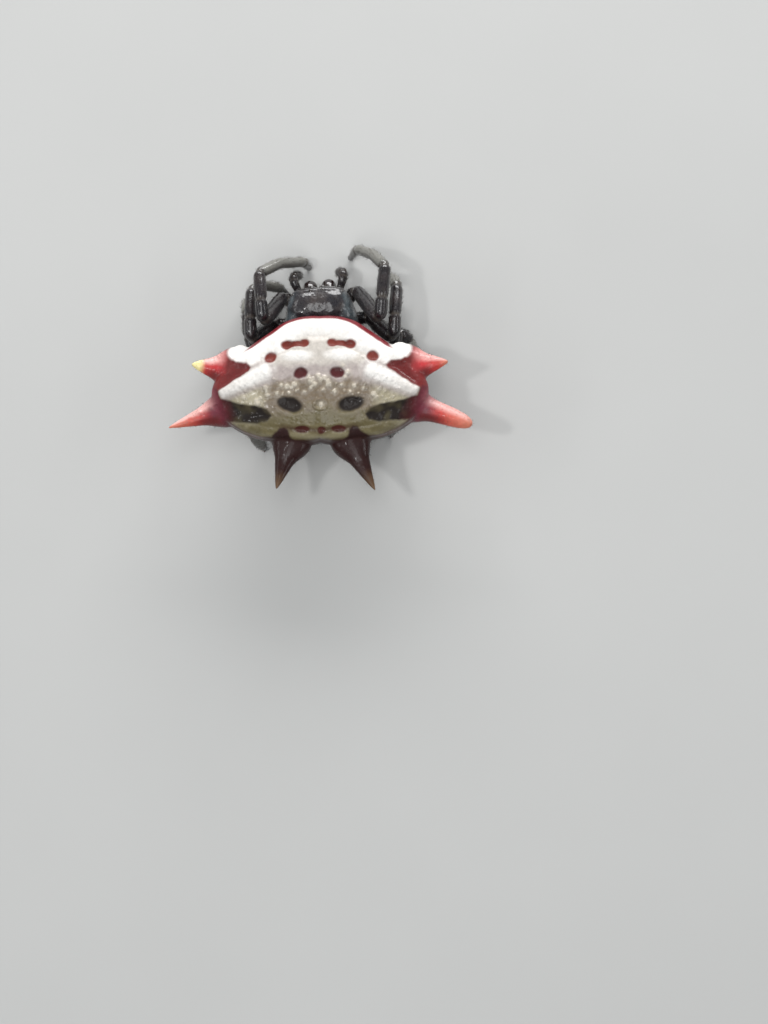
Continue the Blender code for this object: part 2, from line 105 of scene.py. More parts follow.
# Dark fields where the spines leave the shield: their outlines on one side, in order round each
FIELDS = {
    "front": [(2.88, -2.40), (3.08, -2.16), (3.50, -2.10), (3.82, -1.86), (4.10, -1.60), (6.00, -1.40),
              (6.00, -3.20), (4.62, -3.42), (4.20, -3.32), (3.55, -2.93), (2.98, -2.56)],
    "side": [(1.98, -4.52), (2.18, -4.26), (2.70, -4.07), (3.25, -3.98), (3.85, -3.78), (4.18, -3.66),
             (4.30, -3.42), (4.40, -3.20), (5.00, -3.00), (7.00, -3.90), (7.00, -5.60), (4.60, -5.20),
             (4.20, -4.58), (3.40, -4.72), (2.60, -4.82), (2.15, -4.74)],
    "rear": [(1.30, -5.10), (1.45, -5.00), (1.65, -5.02), (1.80, -5.14), (2.25, -5.34), (3.20, -5.60),
             (3.20, -8.00), (0.10, -8.00), (0.30, -5.52), (1.00, -5.44), (1.22, -5.32)],
}
FIELD_DEPTHS = {"front": 0.14, "side": 0.08, "rear": 0.03}

# White ridge that slants from the middle of the shield to its edge between the spines of a side: where it
# starts and ends, and its half width. White cushions: x, y, half length, half width and turn in degrees
RIDGE = ((2.15, -2.62), (4.18, -3.50), 0.42)
CUSHIONS = [(-0.89, -1.94, 0.64, 0.23, 0), (1.00, -1.94, 0.64, 0.23, 0), (-2.24, -2.62, 0.42, 0.34, 25),
            (2.30, -2.62, 0.46, 0.38, -25), (-1.68, -1.62, 0.22, 0.20, 0), (1.86, -1.62, 0.22, 0.20, 0)]

# Large glossy grains that stand up between the spots: x, y and radius
GRAINS = [
    (-0.38, -2.95, 0.10), (-0.15, -3.23, 0.13), (0.02, -2.90, 0.12), (0.30, -2.97, 0.13),
    (0.47, -3.25, 0.12), (-0.28, -3.36, 0.09), (0.71, -3.56, 0.10), (1.01, -3.27, 0.09),
    (1.54, -3.34, 0.12), (1.28, -2.75, 0.12), (1.05, -2.45, 0.08), (2.37, -3.69, 0.13),
    (2.59, -3.47, 0.10), (-2.22, -3.34, 0.13), (-2.14, -3.65, 0.11), (-2.59, -3.99, 0.14),
    (-1.56, -3.25, 0.10), (-1.32, -3.32, 0.12), (-1.00, -3.25, 0.13), (-1.73, -3.60, 0.10),
    (-1.22, -3.58, 0.09), (-2.46, -3.78, 0.09), (-0.58, -3.56, 0.08), (0.24, -3.47, 0.09),
    (1.95, -3.43, 0.08), (1.39, -3.56, 0.08), (-3.17, -3.72, 0.11), (-2.63, -3.88, 0.12),
    (-5.13, -4.16, 0.10), (0.13, -4.11, 0.12), (0.14, -3.05, 0.12), (0.42, -3.12, 0.11),
    (-0.30, -3.12, 0.13), (-2.18, -3.50, 0.10), (1.16, -2.93, 0.09), (-0.20, -3.02, 0.10),
    (-1.12, -3.36, 0.10), (2.46, -3.80, 0.09), (-4.66, -3.98, 0.09), (-4.42, -3.86, 0.08),
]
# Relief of the shield in millimetres: how high its forms stand out and how deep the others sink
SPOT_SINK = 0.8
SPOT_LIP_RISE = 0.010
RIDGE_RISE = 0.15
CUSHION_RISE = 0.050
BAND_RISE = 0.070
FURROW_DEPTH = 0.055
KEEL_RISE = 0.030
PIT = (0.10, -4.10, 0.20, 0.15, 0.0)
PIT_DEPTH = 0.050
PIT_LIP_RISE = 0.025
REAR_GROOVE_DEPTH = 0.030
REAR_LIP_RISE = 0.030
GRAIN_RISE = 0.055
LARGE_GRAIN_RISE = 0.50
FINE_GRAIN_RISE = 0.014
SPINE_GRAIN_RISE = 0.007
UNEVEN_RISE = 0.012

# Relief of the belly: folds that ring it, wrinkles, and the covers of the breathing slits
FOLD_RISE = 0.035
FOLD_SPACING = 0.27
WRINKLE_RISE = 0.030
SLIT_COVER_PLACE = (0.72, -1.75, 2.02)
SLIT_COVER_SIZE = (0.42, 0.5, 0.34)
SLIT_COVER_RISE = 0.05

# Colours, linear
COLOURS = {
    "white": (0.86, 0.83, 0.79),
    # the next colour is the shell's ground: greyer than white, as painted shade in the hollows between its
    # raised white parts
    "hollow_shade_grey": (0.57, 0.525, 0.475),
    "pink_grey": (0.41, 0.355, 0.335),
    # pale khaki and khaki are partly the shell's own yellowish tone behind its middle, partly painted shade
    # on its rear slope
    "pale_khaki_and_shade": (0.178, 0.137, 0.094),
    "side_khaki": (0.40, 0.355, 0.245),
    "khaki": (0.155, 0.128, 0.062),
    "olive": (0.23, 0.195, 0.100),
    "rust": (0.170, 0.027, 0.018),
    "dark_rust": (0.065, 0.011, 0.006),
    "groove_brown": (0.078, 0.045, 0.026),
    "dark_maroon": (0.070, 0.010, 0.011),
    "shell_black": (0.012, 0.007, 0.005),
    "wedge": (0.145, 0.023, 0.022),
    "plum": (0.185, 0.030, 0.048),
    # the next colour is painted highlight on the upper side of the front and side spines
    "pink_highlight": (0.86, 0.52, 0.48),
    # the next colour, of the rear spines, is their own dark maroon made darker still as painted shade
    "aubergine_and_shade": (0.029, 0.008, 0.007),
    "crimson": (0.54, 0.048, 0.054),
    "red": (0.58, 0.055, 0.045),
    "salmon": (0.66, 0.22, 0.14),
    "yellow": (0.92, 0.80, 0.38),
    "rim_red": (0.215, 0.014, 0.022),
    "rim_brown": (0.085, 0.034, 0.024),
    "tip_brown": (0.140, 0.078, 0.036),
    "belly": (0.022, 0.014, 0.011),
    "belly_spot": (0.34, 0.25, 0.10),
    # the next colour is the grains' paleness, partly their own, partly painted glints
    "grain": (0.66, 0.60, 0.50),
}
# Each spine's colour from its root to its tip
SPINE_COLOURS = {
    "front": [(0.20, "wedge"), (0.34, "wedge"), (0.50, "crimson"), (0.78, "red"), (0.96, "salmon")],
    "side": [(0.18, "shell_black"), (0.28, "dark_maroon"), (0.37, "plum"), (0.44, "plum"), (0.60, "red"),
             (1.0, "salmon")],
    "rear": [(0.25, "aubergine_and_shade"), (0.72, "aubergine_and_shade"), (1.0, "tip_brown")],
}
# Black horn: its colour, a warmer one that a noise mixes in, and the colour of the painted sheen and
# highlight that a piece may carry
BLACK_COLOURS = {
    "black_shell": ((0.020, 0.018, 0.022), (0.052, 0.042, 0.040), (0.090, 0.112, 0.124)),
    "leg_shell": ((0.011, 0.009, 0.011), (0.030, 0.021, 0.021), (0.190, 0.185, 0.165)),
}
JOINT_COLOUR = (0.085, 0.070, 0.058)
FLOOR_COLOUR = (0.50, 0.50, 0.49)
SKY_COLOUR = (0.90, 0.96, 1.0, 1.0)
SKY_STRENGTH = 0.26

# The cephalothorax, its jaws and palps and the roots of the legs are turned a little about the neck
NECK = np.array((0.0, -1.60, 0.0))
HEAD_TURN = math.radians(4.0)

# Cephalothorax, as in the solids, with a fuller underside between the hips
CARAPACE_CENTRE = np.array((0.0, 0.30))
CARAPACE_MARGIN = [
    (0.00, 1.62), (0.90, 1.57), (1.24, 1.34), (1.38, 0.98), (1.50, 0.50),
    (1.60, -0.05), (1.30, -0.75), (0.70, -1.12), (0.0, -1.20),
]
CARAPACE_MARGIN_HEIGHT = 1.52
CARAPACE_HEIGHT = [(-1.2, 0.35), (-0.7, 0.62), (-0.1, 0.98), (0.45, 1.28), (1.2, 1.34), (1.8, 1.20)]
CARAPACE_SPREAD = [(0.0, 1.0), (0.2, 0.98), (0.5, 0.84), (0.8, 0.46), (1.0, 0.0)]
CARAPACE_RISE = [(0.0, 0.0), (0.2, 0.34), (0.5, 0.76), (0.8, 0.96), (1.0, 1.0)]
STERNUM_DROP = 0.88
STERNUM_SPREAD = [(0.0, 1.0), (0.18, 0.95), (0.4, 0.78), (0.7, 0.60), (0.9, 0.42), (1.0, 0.0)]
STERNUM_FALL = [(0.0, 0.0), (0.18, 0.12), (0.4, 0.40), (0.7, 0.82), (0.9, 0.97), (1.0, 1.0)]
# Relief of the carapace: the groove between head and thorax, the pit and the furrows that fan out behind it
HEAD_GROOVE = ((0.0, -0.42), (1.45, 0.62))
HEAD_GROOVE_DEPTH = 0.032
THORAX_PIT_Y = -0.46
THORAX_PIT_DEPTH = 0.070
FURROW_START = (0.10, -0.48)
FURROW_ENDS = ((1.45, 0.05), (1.30, -0.50), (0.75, -1.00))
THORAX_FURROW_DEPTH = 0.020
CARAPACE_EDGE_RISE = 0.030

# Eyes: the lens fills its rim, which lies a little higher than the lens's middle
EYES = ("front_median", "rear_median", "front_lateral", "rear_lateral")
LENS_SHARE = 0.92
LENS_SUNK = 0.03
EYE_RIM_SUNK = 0.015
EYE_RIM_THICKNESS = 0.028

# Jaws, palps and pedicel
JAW_PATH = [(0.40, 1.44, 1.32), (0.40, 1.92, 1.06), (0.39, 1.92, 0.72), (0.37, 1.80, 0.44)]
JAW_RADII = [0.24, 0.31, 0.26, 0.16]
FANG_PATH = [(0.37, 1.84, 0.52), (0.34, 1.80, 0.37), (0.25, 1.70, 0.29), (0.15, 1.60, 0.31)]
FANG_RADII = [0.10, 0.085, 0.05, 0.012]
PALP_PATH = [(0.78, 1.46, 1.18), (0.95, 1.84, 1.28), (1.04, 2.06, 1.38), (1.09, 2.27, 1.36),
             (1.02, 2.43, 1.20), (0.90, 2.49, 0.98), (0.81, 2.48, 0.68)]
PALP_RADII = [0.15, 0.16, 0.18, 0.20, 0.20, 0.19, 0.10]
PALP_JOINTS = (1.2, 2.6, 3.4, 4.4)
PEDICEL_PATH = [(0.0, -0.75, 1.42), (0.0, -1.30, 1.38), (0.0, -2.05, 1.42)]
PEDICEL_RADII = [0.30, 0.22, 0.30]
MOUTH_PLATE_SIZE = (0.20, 0.26, 0.12)
MOUTH_PLATE_PLACE = (0.27, 1.10, 0.70)
MOUTH_LIP_SIZE = (0.15, 0.16, 0.08)
MOUTH_LIP_PLACE = (0.0, 0.84, 0.66)

# Spinnerets: how far each pair stands beside the middle and ahead of it, its radius and its share of the
# height, then the profile of a cone (joint number and share of the radius), and the ring that they stand on
CONES = ((0.22, 0.17, 0.17, 1.0), (0.27, -0.15, 0.17, 0.95), (0.10, 0.0, 0.10, 0.7))
CONE_PROFILE = ((0, 0.7, 1.0, 1.15, 1.5, 2.0), (1.05, 1.0, 0.88, 0.72, 0.66, 0.34))
CONE_RING_RADIUS = 0.50
CONE_RING_HEIGHT = 0.28

# Legs of one side: the hip, trochanter, knee, shin, ankle, bow of the metatarsus, heel and foot of each
LEG_JOINTS = {
    1: [(0.98, 1.06, 0.84), (1.57, 1.62, 1.10), (2.50, -0.12, 2.92), (2.58, 0.86, 3.06),
        (2.68, 2.12, 2.74), (1.90, 2.70, 2.06), (0.96, 3.03, 0.95), (0.76, 2.96, 0.0)],
    2: [(1.12, 0.36, 0.86), (2.02, 0.38, 1.04), (3.08, -0.78, 2.28), (3.10, 0.22, 2.42),
        (3.08, 1.54, 1.98), (2.66, 1.90, 1.50), (2.04, 1.94, 0.84), (1.72, 1.82, 0.0)],
    3: [(1.10, -0.36, 0.86), (1.90, -0.66, 0.88), (2.94, -1.16, 1.18), (3.26, -0.27, 1.20),
        (3.34, 0.72, 1.16), (3.40, 1.12, 0.96), (3.43, 1.36, 0.60), (3.44, 1.48, 0.0)],
    4: [(0.80, -1.06, 0.86), (1.46, -1.60, 0.86), (2.94, -2.46, 1.16), (3.14, -3.30, 1.34),
        (3.10, -4.36, 1.08), (2.98, -4.74, 0.86), (2.78, -4.92, 0.54), (2.66, -4.98, 0.0)],
}
RIGHT_LEG_JOINTS = {
    1: [(0.98, 1.06, 0.84), (1.57, 1.62, 1.10), (2.52, -0.12, 2.94), (2.62, 0.86, 3.08),
        (2.72, 2.30, 2.80), (2.14, 2.98, 2.16), (1.42, 3.46, 1.24), (0.98, 3.36, 0.0)],
    2: [(1.12, 0.36, 0.86), (2.02, 0.38, 1.04), (3.08, -0.78, 2.28), (3.12, 0.22, 2.44),
        (3.16, 1.60, 1.98), (2.98, 2.06, 1.48), (2.60, 2.28, 0.88), (2.28, 2.36, 0.0)],
    3: [(1.10, -0.36, 0.86), (1.90, -0.68, 0.88), (2.94, -1.20, 1.14), (3.16, -0.18, 1.22),
        (3.60, -0.50, 0.74), (3.76, -0.92, 0.64), (3.90, -1.34, 0.46), (3.94, -1.52, 0.0)],
    4: [(0.80, -1.06, 0.86), (1.46, -1.60, 0.86), (2.94, -2.42, 1.16), (3.20, -3.16, 1.34),
        (3.12, -4.00, 1.10), (3.00, -4.28, 0.88), (2.82, -4.42, 0.56), (2.72, -4.46, 0.0)],
}
LEG_RADII = [0.25, 0.26, 0.26, 0.25, 0.24, 0.24, 0.22, 0.12]
LEG_BULGE = [1.06, 1.28, 1.08, 1.12, 1.04, 1.0, 1.02]
LEG_REAL_JOINTS = (1, 2, 3, 4, 6)
LEG_ROOT_SUNK = 0.30
FOOT_LIFT = 0.004
CLAW_RADII = (0.035, 0.026, 0.006)
LIMB_HAIR_WIDTH = 0.008
BODY_HAIR_WIDTH = 0.007

# Limbs: the spacing of the points along runs and bends and of the rings, and the radius of the bends, with
# the largest share of a run that a bend may take
PATH_RUN = 0.06
PATH_TURN = math.radians(8)
RING_SPACING = 0.045
BEND_RADIUS = 0.34
BEND_ROOM = 0.42

# Hairs: shares of the length and the width. Each is sunk in the skin, bends at its middle and narrows there
HAIR_SUNK = 0.12
HAIR_MIDDLE_BEND = 0.35
HAIR_MIDDLE_WIDTH = 0.7
HAIR_PATCH = 0.0015

# Lamps: place and size in metres, and power in watts
LAMPS = {
    "key": ((0.012, 0.115, 0.047), (0.130, 0.040), 0.175),
    "top": ((0.0, -0.030, 0.120), (0.036, 0.100), 0.054),
    "spark": ((-0.045, -0.020, 0.120), (0.010, 0.010), 0.030),
    "fill_left": ((-0.090, 0.010, 0.060), (0.100, 0.010), 0.019),
    "fill_right": ((0.090, -0.010, 0.060), (0.100, 0.010), 0.019),
}
FLOOR_SIZE = 4.0

# Camera: the picture's pixels, its scale, and the way from the spider to the camera
PICTURE_SIZE = (768, 1024)
PIXELS_PER_MM = 23.46
CAMERA_YAW = math.radians(4.5)
CAMERA_BACK = (-0.214, 0.970)
CAMERA_DISTANCE = 300.0
SENSOR_WIDTH = 36.0
AIM_RIGHT = 2.71
AIM_DOWN = 8.33


# Shared helpers

def deselect():
    bpy.ops.object.select_all(action="DESELECT")


def pick(thing):
    """Makes one object the only selected one, and the active one."""
    deselect()
    thing.select_set(True)
    bpy.context.view_layer.objects.active = thing


def named(name):
    """Names the object that the last operator added."""
    thing = bpy.context.object
    thing.name = name
    thing.data.name = name
    return thing


def points_of(thing):
    spots = np.empty(len(thing.data.vertices) * 3)
    thing.data.vertices.foreach_get("co", spots)
    return spots.reshape(-1, 3)


def normals_of(thing):
    ways = np.empty(len(thing.data.vertices) * 3, dtype=np.float32)
    thing.data.vertex_normals.foreach_get("vector", ways)
    return ways.reshape(-1, 3).astype(float)


def move_points(thing, spots):
    thing.data.vertices.foreach_set("co", np.ascontiguousarray(spots).ravel())
    thing.data.update()


def smooth(table, t):
    """The values at t of a smooth curve through the (t, value) pairs of a table."""
    knots, values = np.array(table, dtype=float).T
    slopes = np.empty(len(knots))
    slopes[1:-1] = (values[2:] - values[:-2]) / (knots[2:] - knots[:-2])
    slopes[0] = (values[1] - values[0]) / (knots[1] - knots[0])
    slopes[-1] = (values[-1] - values[-2]) / (knots[-1] - knots[-2])
    t = np.clip(t, knots[0], knots[-1])
    i = np.clip(np.searchsorted(knots, t, side="right") - 1, 0, len(knots) - 2)
    span = knots[i + 1] - knots[i]
    u = (t - knots[i]) / span
    rise = (2 * u - 3) * u * u * (values[i] - values[i + 1]) + values[i]
    return rise + span * u * (1 - u) * ((1 - u) * slopes[i] - u * slopes[i + 1])


def step(low, high, value):
    """0 below low, 1 above high and a soft slope between; low may be the higher one."""
    t = np.clip((value - low) / (high - low), 0.0, 1.0)
    return t * t * (3 - 2 * t)


def hump(value, middle, width):
    return np.exp(-(((value - middle) / width) ** 2))


def ripple(spots, size, seed=0.0):
    """Smooth noise, about -1 to 1, with lumps of a size in millimetres."""
    shift = Vector((seed, seed * 1.7, -seed))
    return np.array([noise.noise(Vector(spot) / size + shift) for spot in spots])


def grains(spots, size, seed=0.0):
    """How far each point lies from the middle of its grain, 0 to about 1."""
    shift = Vector((seed, -seed, seed * 0.5))
    return np.array([noise.voronoi(Vector(spot) / size + shift)[0][0] for spot in spots])


def unit(rows):
    """The rows of an array, each brought to length 1."""
    return rows / np.linalg.norm(rows, axis=1)[:, None]


def rounded(part):
    """Rises from 0 to 1 along a quarter of a circle, as the radius of a round end does."""
    return np.sqrt(np.clip(1 - (1 - np.clip(part, 0, 1)) ** 2, 0, 1))


def lengths_along(spots):
    """How far along a path each of its points lies."""
    return np.concatenate(([0.0], np.cumsum(np.linalg.norm(np.diff(spots, axis=0), axis=1))))


def rows_at(places, knots, rows):
    """The rows of a table of places, directions or colours, read between its knots."""
    return np.stack([np.interp(places, knots, rows[:, k]) for k in range(3)], axis=1)


def polar(outline, centre):
    """Half an outline as (angle, radius) pairs about a centre, from the rear (-90) to the front (+90)."""
    pairs = []
    for x, y in outline:
        arm = np.array((x, y)) - centre
        pairs.append((math.degrees(math.atan2(arm[1], max(arm[0], 0.0))), math.hypot(*arm)))
    return sorted(pairs)


def ball_angles(thing):
    """For a unit sphere's points: the angle from +X with both sides alike, the lift and the way they face."""
    spots = points_of(thing)
    flat = spots[:, :2]
    length = np.maximum(np.hypot(flat[:, 0], flat[:, 1]), 1e-9)
    lift = np.arcsin(np.clip(spots[:, 2], -1, 1)) / (math.pi / 2)
    side = np.where((np.abs(lift) > 0.9999)[:, None], 0.0, flat / length[:, None])
    return np.degrees(np.arctan2(flat[:, 1], np.abs(flat[:, 0]))), lift, side


def ball(name, centre, radius, segments=32, rings=20):
    bpy.ops.mesh.primitive_uv_sphere_add(segments=segments, ring_count=rings, radius=radius, location=centre)
    thing = named(name)
    bpy.ops.object.transform_apply(location=True, rotation=True, scale=True)
    return thing


def sphere(name, segments, rings):
    """A unit sphere at the origin, whose points are then laid in their places."""
    bpy.ops.mesh.primitive_uv_sphere_add(segments=segments, ring_count=rings, radius=1.0)
    return named(name)


def way_up(thing):
    """For a unit sphere's points: the share of the way from the lower pole to the upper, and the turn."""
    spots = points_of(thing)
    part = 1 - np.arccos(np.clip(spots[:, 2], -1, 1)) / math.pi
    return part, np.arctan2(spots[:, 1], spots[:, 0])


def join(things):
    """Joins pieces into the first of them."""
    pick(things[0])
    for thing in things[1:]:
        thing.select_set(True)
    bpy.ops.object.join()
    return bpy.context.object


def modify(thing, kind, **settings):
    """Adds a modifier and applies it."""
    pick(thing)
    modifier = thing.modifiers.new(kind.lower(), kind)
    for key, value in settings.items():
        setattr(modifier, key, value)
    bpy.ops.object.modifier_apply(modifier=modifier.name)


def paint(thing, name, values):
    """Stores a number or a colour for each point, for the piece's material to read."""
    values = np.asarray(values, dtype=np.float32)
    if values.ndim == 1:
        thing.data.attributes.new(name, "FLOAT", "POINT").data.foreach_set("value", values)
    else:
        rgba = np.ones((len(values), 4), dtype=np.float32)
        rgba[:, :3] = values
        thing.data.attributes.new(name, "FLOAT_COLOR", "POINT").data.foreach_set("color", rgba.ravel())


def settle(thing, material, slot, *nodes):
    """Gives a finished piece its material and its place in metres, and lets it stand for CAD nodes."""
    thing.data.materials.clear()
    thing.data.materials.append(material)
    thing.scale = (MM, MM, MM)
    thing.location = (0.0, FRAME_Y * MM, 0.0)
    pick(thing)
    bpy.ops.object.transform_apply(location=True, rotation=True, scale=True)
    bpy.ops.object.shade_smooth()
    if nodes:
        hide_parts(*nodes)
    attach(thing, "root")


# Paths of limbs, horns and hairs

def bent_path(joints, run=PATH_RUN):
    """Close points along straight runs joined by round bends, and the joint number reached at each."""
    joints = [Vector(tuple(joint)) for joint in joints]
    spots, reached = [joints[0]], [0.0]

    def add_run(end, number):
        start, first = spots[-1], reached[-1]
        count = max(1, round((end - start).length / run))
        for k in range(1, count + 1):
            spots.append(start.lerp(end, k / count))
            reached.append(first + (number - first) * k / count)

    for i in range(1, len(joints) - 1):
        before, here, after = joints[i - 1], joints[i], joints[i + 1]
        way_in, way_out = (here - before).normalized(), (after - here).normalized()
        turn = way_in.angle(way_out)
        room = BEND_ROOM * min((here - before).length, (after - here).length)
        reach = min(BEND_RADIUS * math.tan(turn / 2), room)
        radius = reach / math.tan(turn / 2)
        side = (way_out - way_in * way_in.dot(way_out)).normalized()
        centre = here - way_in * reach + side * radius
        part_in = reach / (here - before).length
        part_out = reach / (after - here).length
        add_run(here - way_in * reach, i - part_in)
        steps = max(2, math.ceil(turn / PATH_TURN))
        for k in range(1, steps + 1):
            at = turn * k / steps
            spots.append(centre - side * radius * math.cos(at) + way_in * radius * math.sin(at))
            share = 2 * k / steps - 1
            reached.append(i + share * (part_out if share > 0 else part_in))
    add_run(joints[-1], len(joints) - 1.0)
    return np.array([tuple(spot) for spot in spots]), np.array(reached)


def frames_along(spots):
    """The way on, and two directions across it that don't twist, at each point of a path."""
    ways = unit(np.gradient(spots, axis=0))
    across = np.empty_like(spots)
    across[0] = Vector(ways[0]).orthogonal().normalized()
    for i in range(1, len(spots)):
        before, here = Vector(ways[i - 1]), Vector(ways[i])
        turned_on = before.rotation_difference(here) @ Vector(across[i - 1])
        across[i] = (turned_on - here * turned_on.dot(here)).normalized()
    return ways, across, np.cross(ways, across)


def limb(name, spots, radii, sides=24, rings=None):
    """A round-ended limb: a sphere whose rings are laid along a path, with a radius at each of its points.
    Gives the limb, and how far along the path each point of the limb lies."""
    lengths = lengths_along(spots)
    thing = sphere(name, sides, rings or max(12, round(lengths[-1] / RING_SPACING)))
    part, around = way_up(thing)
    at = part * lengths[-1]
    middle, across, upward = (rows_at(at, lengths, rows) for rows in (spots, *frames_along(spots)[1:]))
    radius = np.interp(at, lengths, radii)
    radius *= rounded(at / radii[0])
    radius *= rounded((lengths[-1] - at) / radii[-1])
    out = across * np.cos(around)[:, None] + upward * np.sin(around)[:, None]
    move_points(thing, middle + out * radius[:, None])
    return thing, at


def tapered_limb(name, joints, radii, sides, rings=None, run=PATH_RUN):
    """A limb through some joints, with a radius at each joint."""
    spots, reached = bent_path(joints, run)
    return limb(name, spots, np.interp(reached, range(len(radii)), radii), sides, rings)


def mirrored(points, hand):
    return [(hand * x, y, z) for x, y, z in points]


def turned(points):
    """Points of the cephalothorax after its turn about the neck."""
    turn = np.array(Matrix.Rotation(HEAD_TURN, 3, "Z"))
    return (np.asarray(points, dtype=float) - NECK) @ turn.T + NECK


def face_out(thing):
    """Turns all faces of a closed piece outwards."""
    pick(thing)
    bpy.ops.object.mode_set(mode="EDIT")
    bpy.ops.mesh.select_all(action="SELECT")
    bpy.ops.mesh.normals_make_consistent(inside=False)
    bpy.ops.object.mode_set(mode="OBJECT")


# Hairs: thin three-sided tapers with a bend, in one mesh for each part of the coat

def hairs(name, roots, ways, bends, lengths, widths, places):
    """One mesh of tapered hairs; places are their roots on the skin's unwrap, where each gets a patch."""
    count = len(roots)
    ways = unit(ways)
    helper = np.where(np.abs(ways[:, 2:3]) < 0.9, np.array((0.0, 0.0, 1.0)), np.array((1.0, 0.0, 0.0)))
    across = unit(np.cross(ways, helper))
    upward = np.cross(ways, across)
    lengths = lengths[:, None]
    corners = np.empty((count, 7, 3))
    for k in range(3):
        turn = 2 * math.pi * k / 3
        out = (across * math.cos(turn) + upward * math.sin(turn)) * widths[:, None]
        corners[:, k] = roots + out - ways * lengths * HAIR_SUNK
        halfway = (ways + bends * HAIR_MIDDLE_BEND) * lengths * 0.5
        corners[:, 3 + k] = roots + out * HAIR_MIDDLE_WIDTH + halfway
    corners[:, 6] = roots + (ways + bends) * lengths
    faces = []
    for i in range(count):
        base = i * 7
        faces.append((base + 2, base + 1, base))
        for k in range(3):
            after = (k + 1) % 3
            faces.append((base + k, base + after, base + 3 + after, base + 3 + k))
            faces.append((base + 3 + k, base + 3 + after, base + 6))
    mesh = bpy.data.meshes.new(name)
    mesh.from_pydata(corners.reshape(-1, 3).tolist(), [], faces)
    thing = bpy.data.objects.new(name, mesh)
    bpy.context.scene.collection.objects.link(thing)
    patch = HAIR_PATCH * np.array([(-1, -1), (1, -1), (0, 0.5), (-1, 0.5), (1, 0.5), (0, 1), (0, 1)])
    spread = (places[:, None, :] + patch[None]).reshape(-1, 2)
    corner_points = np.empty(len(mesh.loops), dtype=np.int32)
    mesh.loops.foreach_get("vertex_index", corner_points)
    layer = mesh.uv_layers.new(name="OFBake")
    layer.data.foreach_set("uv", spread[corner_points].astype(np.float32).ravel())
    return thing


# Materials

def set_inputs(tree, node, values):
    """Sets inputs of a node; each value is a number, a colour or the output that feeds the input."""
    for key, value in values.items():
        if isinstance(value, bpy.types.NodeSocket):
            tree.links.new(value, node.inputs[key])
        else:
            node.inputs[key].default_value = value


def add_node(tree, kind, inputs=None, **settings):
    made = tree.nodes.new(kind)
    for key, value in settings.items():
        setattr(made, key, value)
    set_inputs(tree, made, inputs or {})
    return made


def new_material(name, colour, roughness, settings=None):
    """A material with its node tree, its shader, and the piece's own coordinates for its noises."""
    material = bpy.data.materials.new(name)
    material.use_nodes = True
    material.diffuse_color = (*colour, 1.0)
    tree = material.node_tree
    shader = tree.nodes["Principled BSDF"]
    set_inputs(tree, shader, {"Base Color": (*colour, 1.0), "Roughness": roughness, **(settings or {})})
    return material, tree, shader, add_node(tree, "ShaderNodeTexCoord").outputs["Object"]


def noise_of(tree, where, scale, detail=3.0):
    values = {"Vector": where, "Scale": scale, "Detail": detail, "Roughness": 0.55}
    return add_node(tree, "ShaderNodeTexNoise", values).outputs["Fac"]


def painted(tree, name, output="Fac"):
    """What paint() stored on the piece."""
    return add_node(tree, "ShaderNodeAttribute", attribute_name=name).outputs[output]


def map_range(tree, value, low, high, new_low, new_high):
    values = {"Value": value, "From Min": low, "From Max": high, "To Min": new_low, "To Max": new_high}
    return add_node(tree, "ShaderNodeMapRange", values).outputs["Result"]


def maths(tree, operation, *values):
    return add_node(tree, "ShaderNodeMath", dict(enumerate(values)), operation=operation).outputs[0]


def tint(tree, colour, factor, by, blend="MULTIPLY"):
    """Blends a colour with another; each of the two is a colour or the output of a node."""
    made = add_node(tree, "ShaderNodeMix", data_type="RGBA", blend_type=blend)
    set_inputs(tree, made, {"Factor": factor})
    for key, value in (("A", colour), ("B", by)):
        socket = next(s for s in made.inputs if s.name == key and s.type == "RGBA")
        if isinstance(value, tuple):
            socket.default_value = (*value, 1.0)
        else:
            tree.links.new(value, socket)
    return next(s for s in made.outputs if s.type == "RGBA")


def mottled(tree, cloud, low, high, colour, other):
    """One colour that gives way to another where a noise rises from low to high."""
    return tint(tree, colour, map_range(tree, cloud, low, high, 0.0, 1.0), other, "MIX")


def bump(tree, heights, distance, strength):
    """Adds heights, pairs of an output and its share, and gives the normal of the surface they raise."""
    total = None
    for output, share in heights:
        scaled = maths(tree, "MULTIPLY", output, share)
        total = scaled if total is None else maths(tree, "ADD", total, scaled)
    values = {"Distance": distance, "Strength": strength, "Height": total}
    return add_node(tree, "ShaderNodeBump", values).outputs["Normal"]


def make_shell_material():
    """Hard waxy shell: its colours come from the piece, with fine mottling, pits and an uneven gloss."""
    material, tree, shader, where = new_material("shield_shell", COLOURS["white"], 0.3, {
        "Specular IOR Level": 0.26, "Coat Weight": 0.12, "Coat Roughness": 0.12})
    cloud = noise_of(tree, where, 1800.0, 4.0)
    speck = noise_of(tree, where, 9000.0)
    colour = painted(tree, "shell_colour", "Color")
    colour = tint(tree, colour, 0.55, map_range(tree, cloud, 0.3, 0.7, 0.80, 1.10))
    colour = tint(tree, colour, 0.55, map_range(tree, speck, 0.35, 0.65, 0.86, 1.08))
    pits = add_node(tree, "ShaderNodeTexVoronoi", {"Vector": where, "Scale": 8500.0}, feature="SMOOTH_F1")
    pitted = maths(tree, "MULTIPLY", pits.outputs["Distance"], painted(tree, "shell_rough"))
    gloss = map_range(tree, cloud, 0.35, 0.65, 0.26, 0.40)
    set_inputs(tree, shader, {
        "Base Color": colour,
        "Normal": bump(tree, [(pitted, 1.0), (speck, 0.25)], 0.00003, 0.8),
        "Roughness": maths(tree, "MULTIPLY_ADD", painted(tree, "shell_dull"), 0.36, gloss)})
    return material


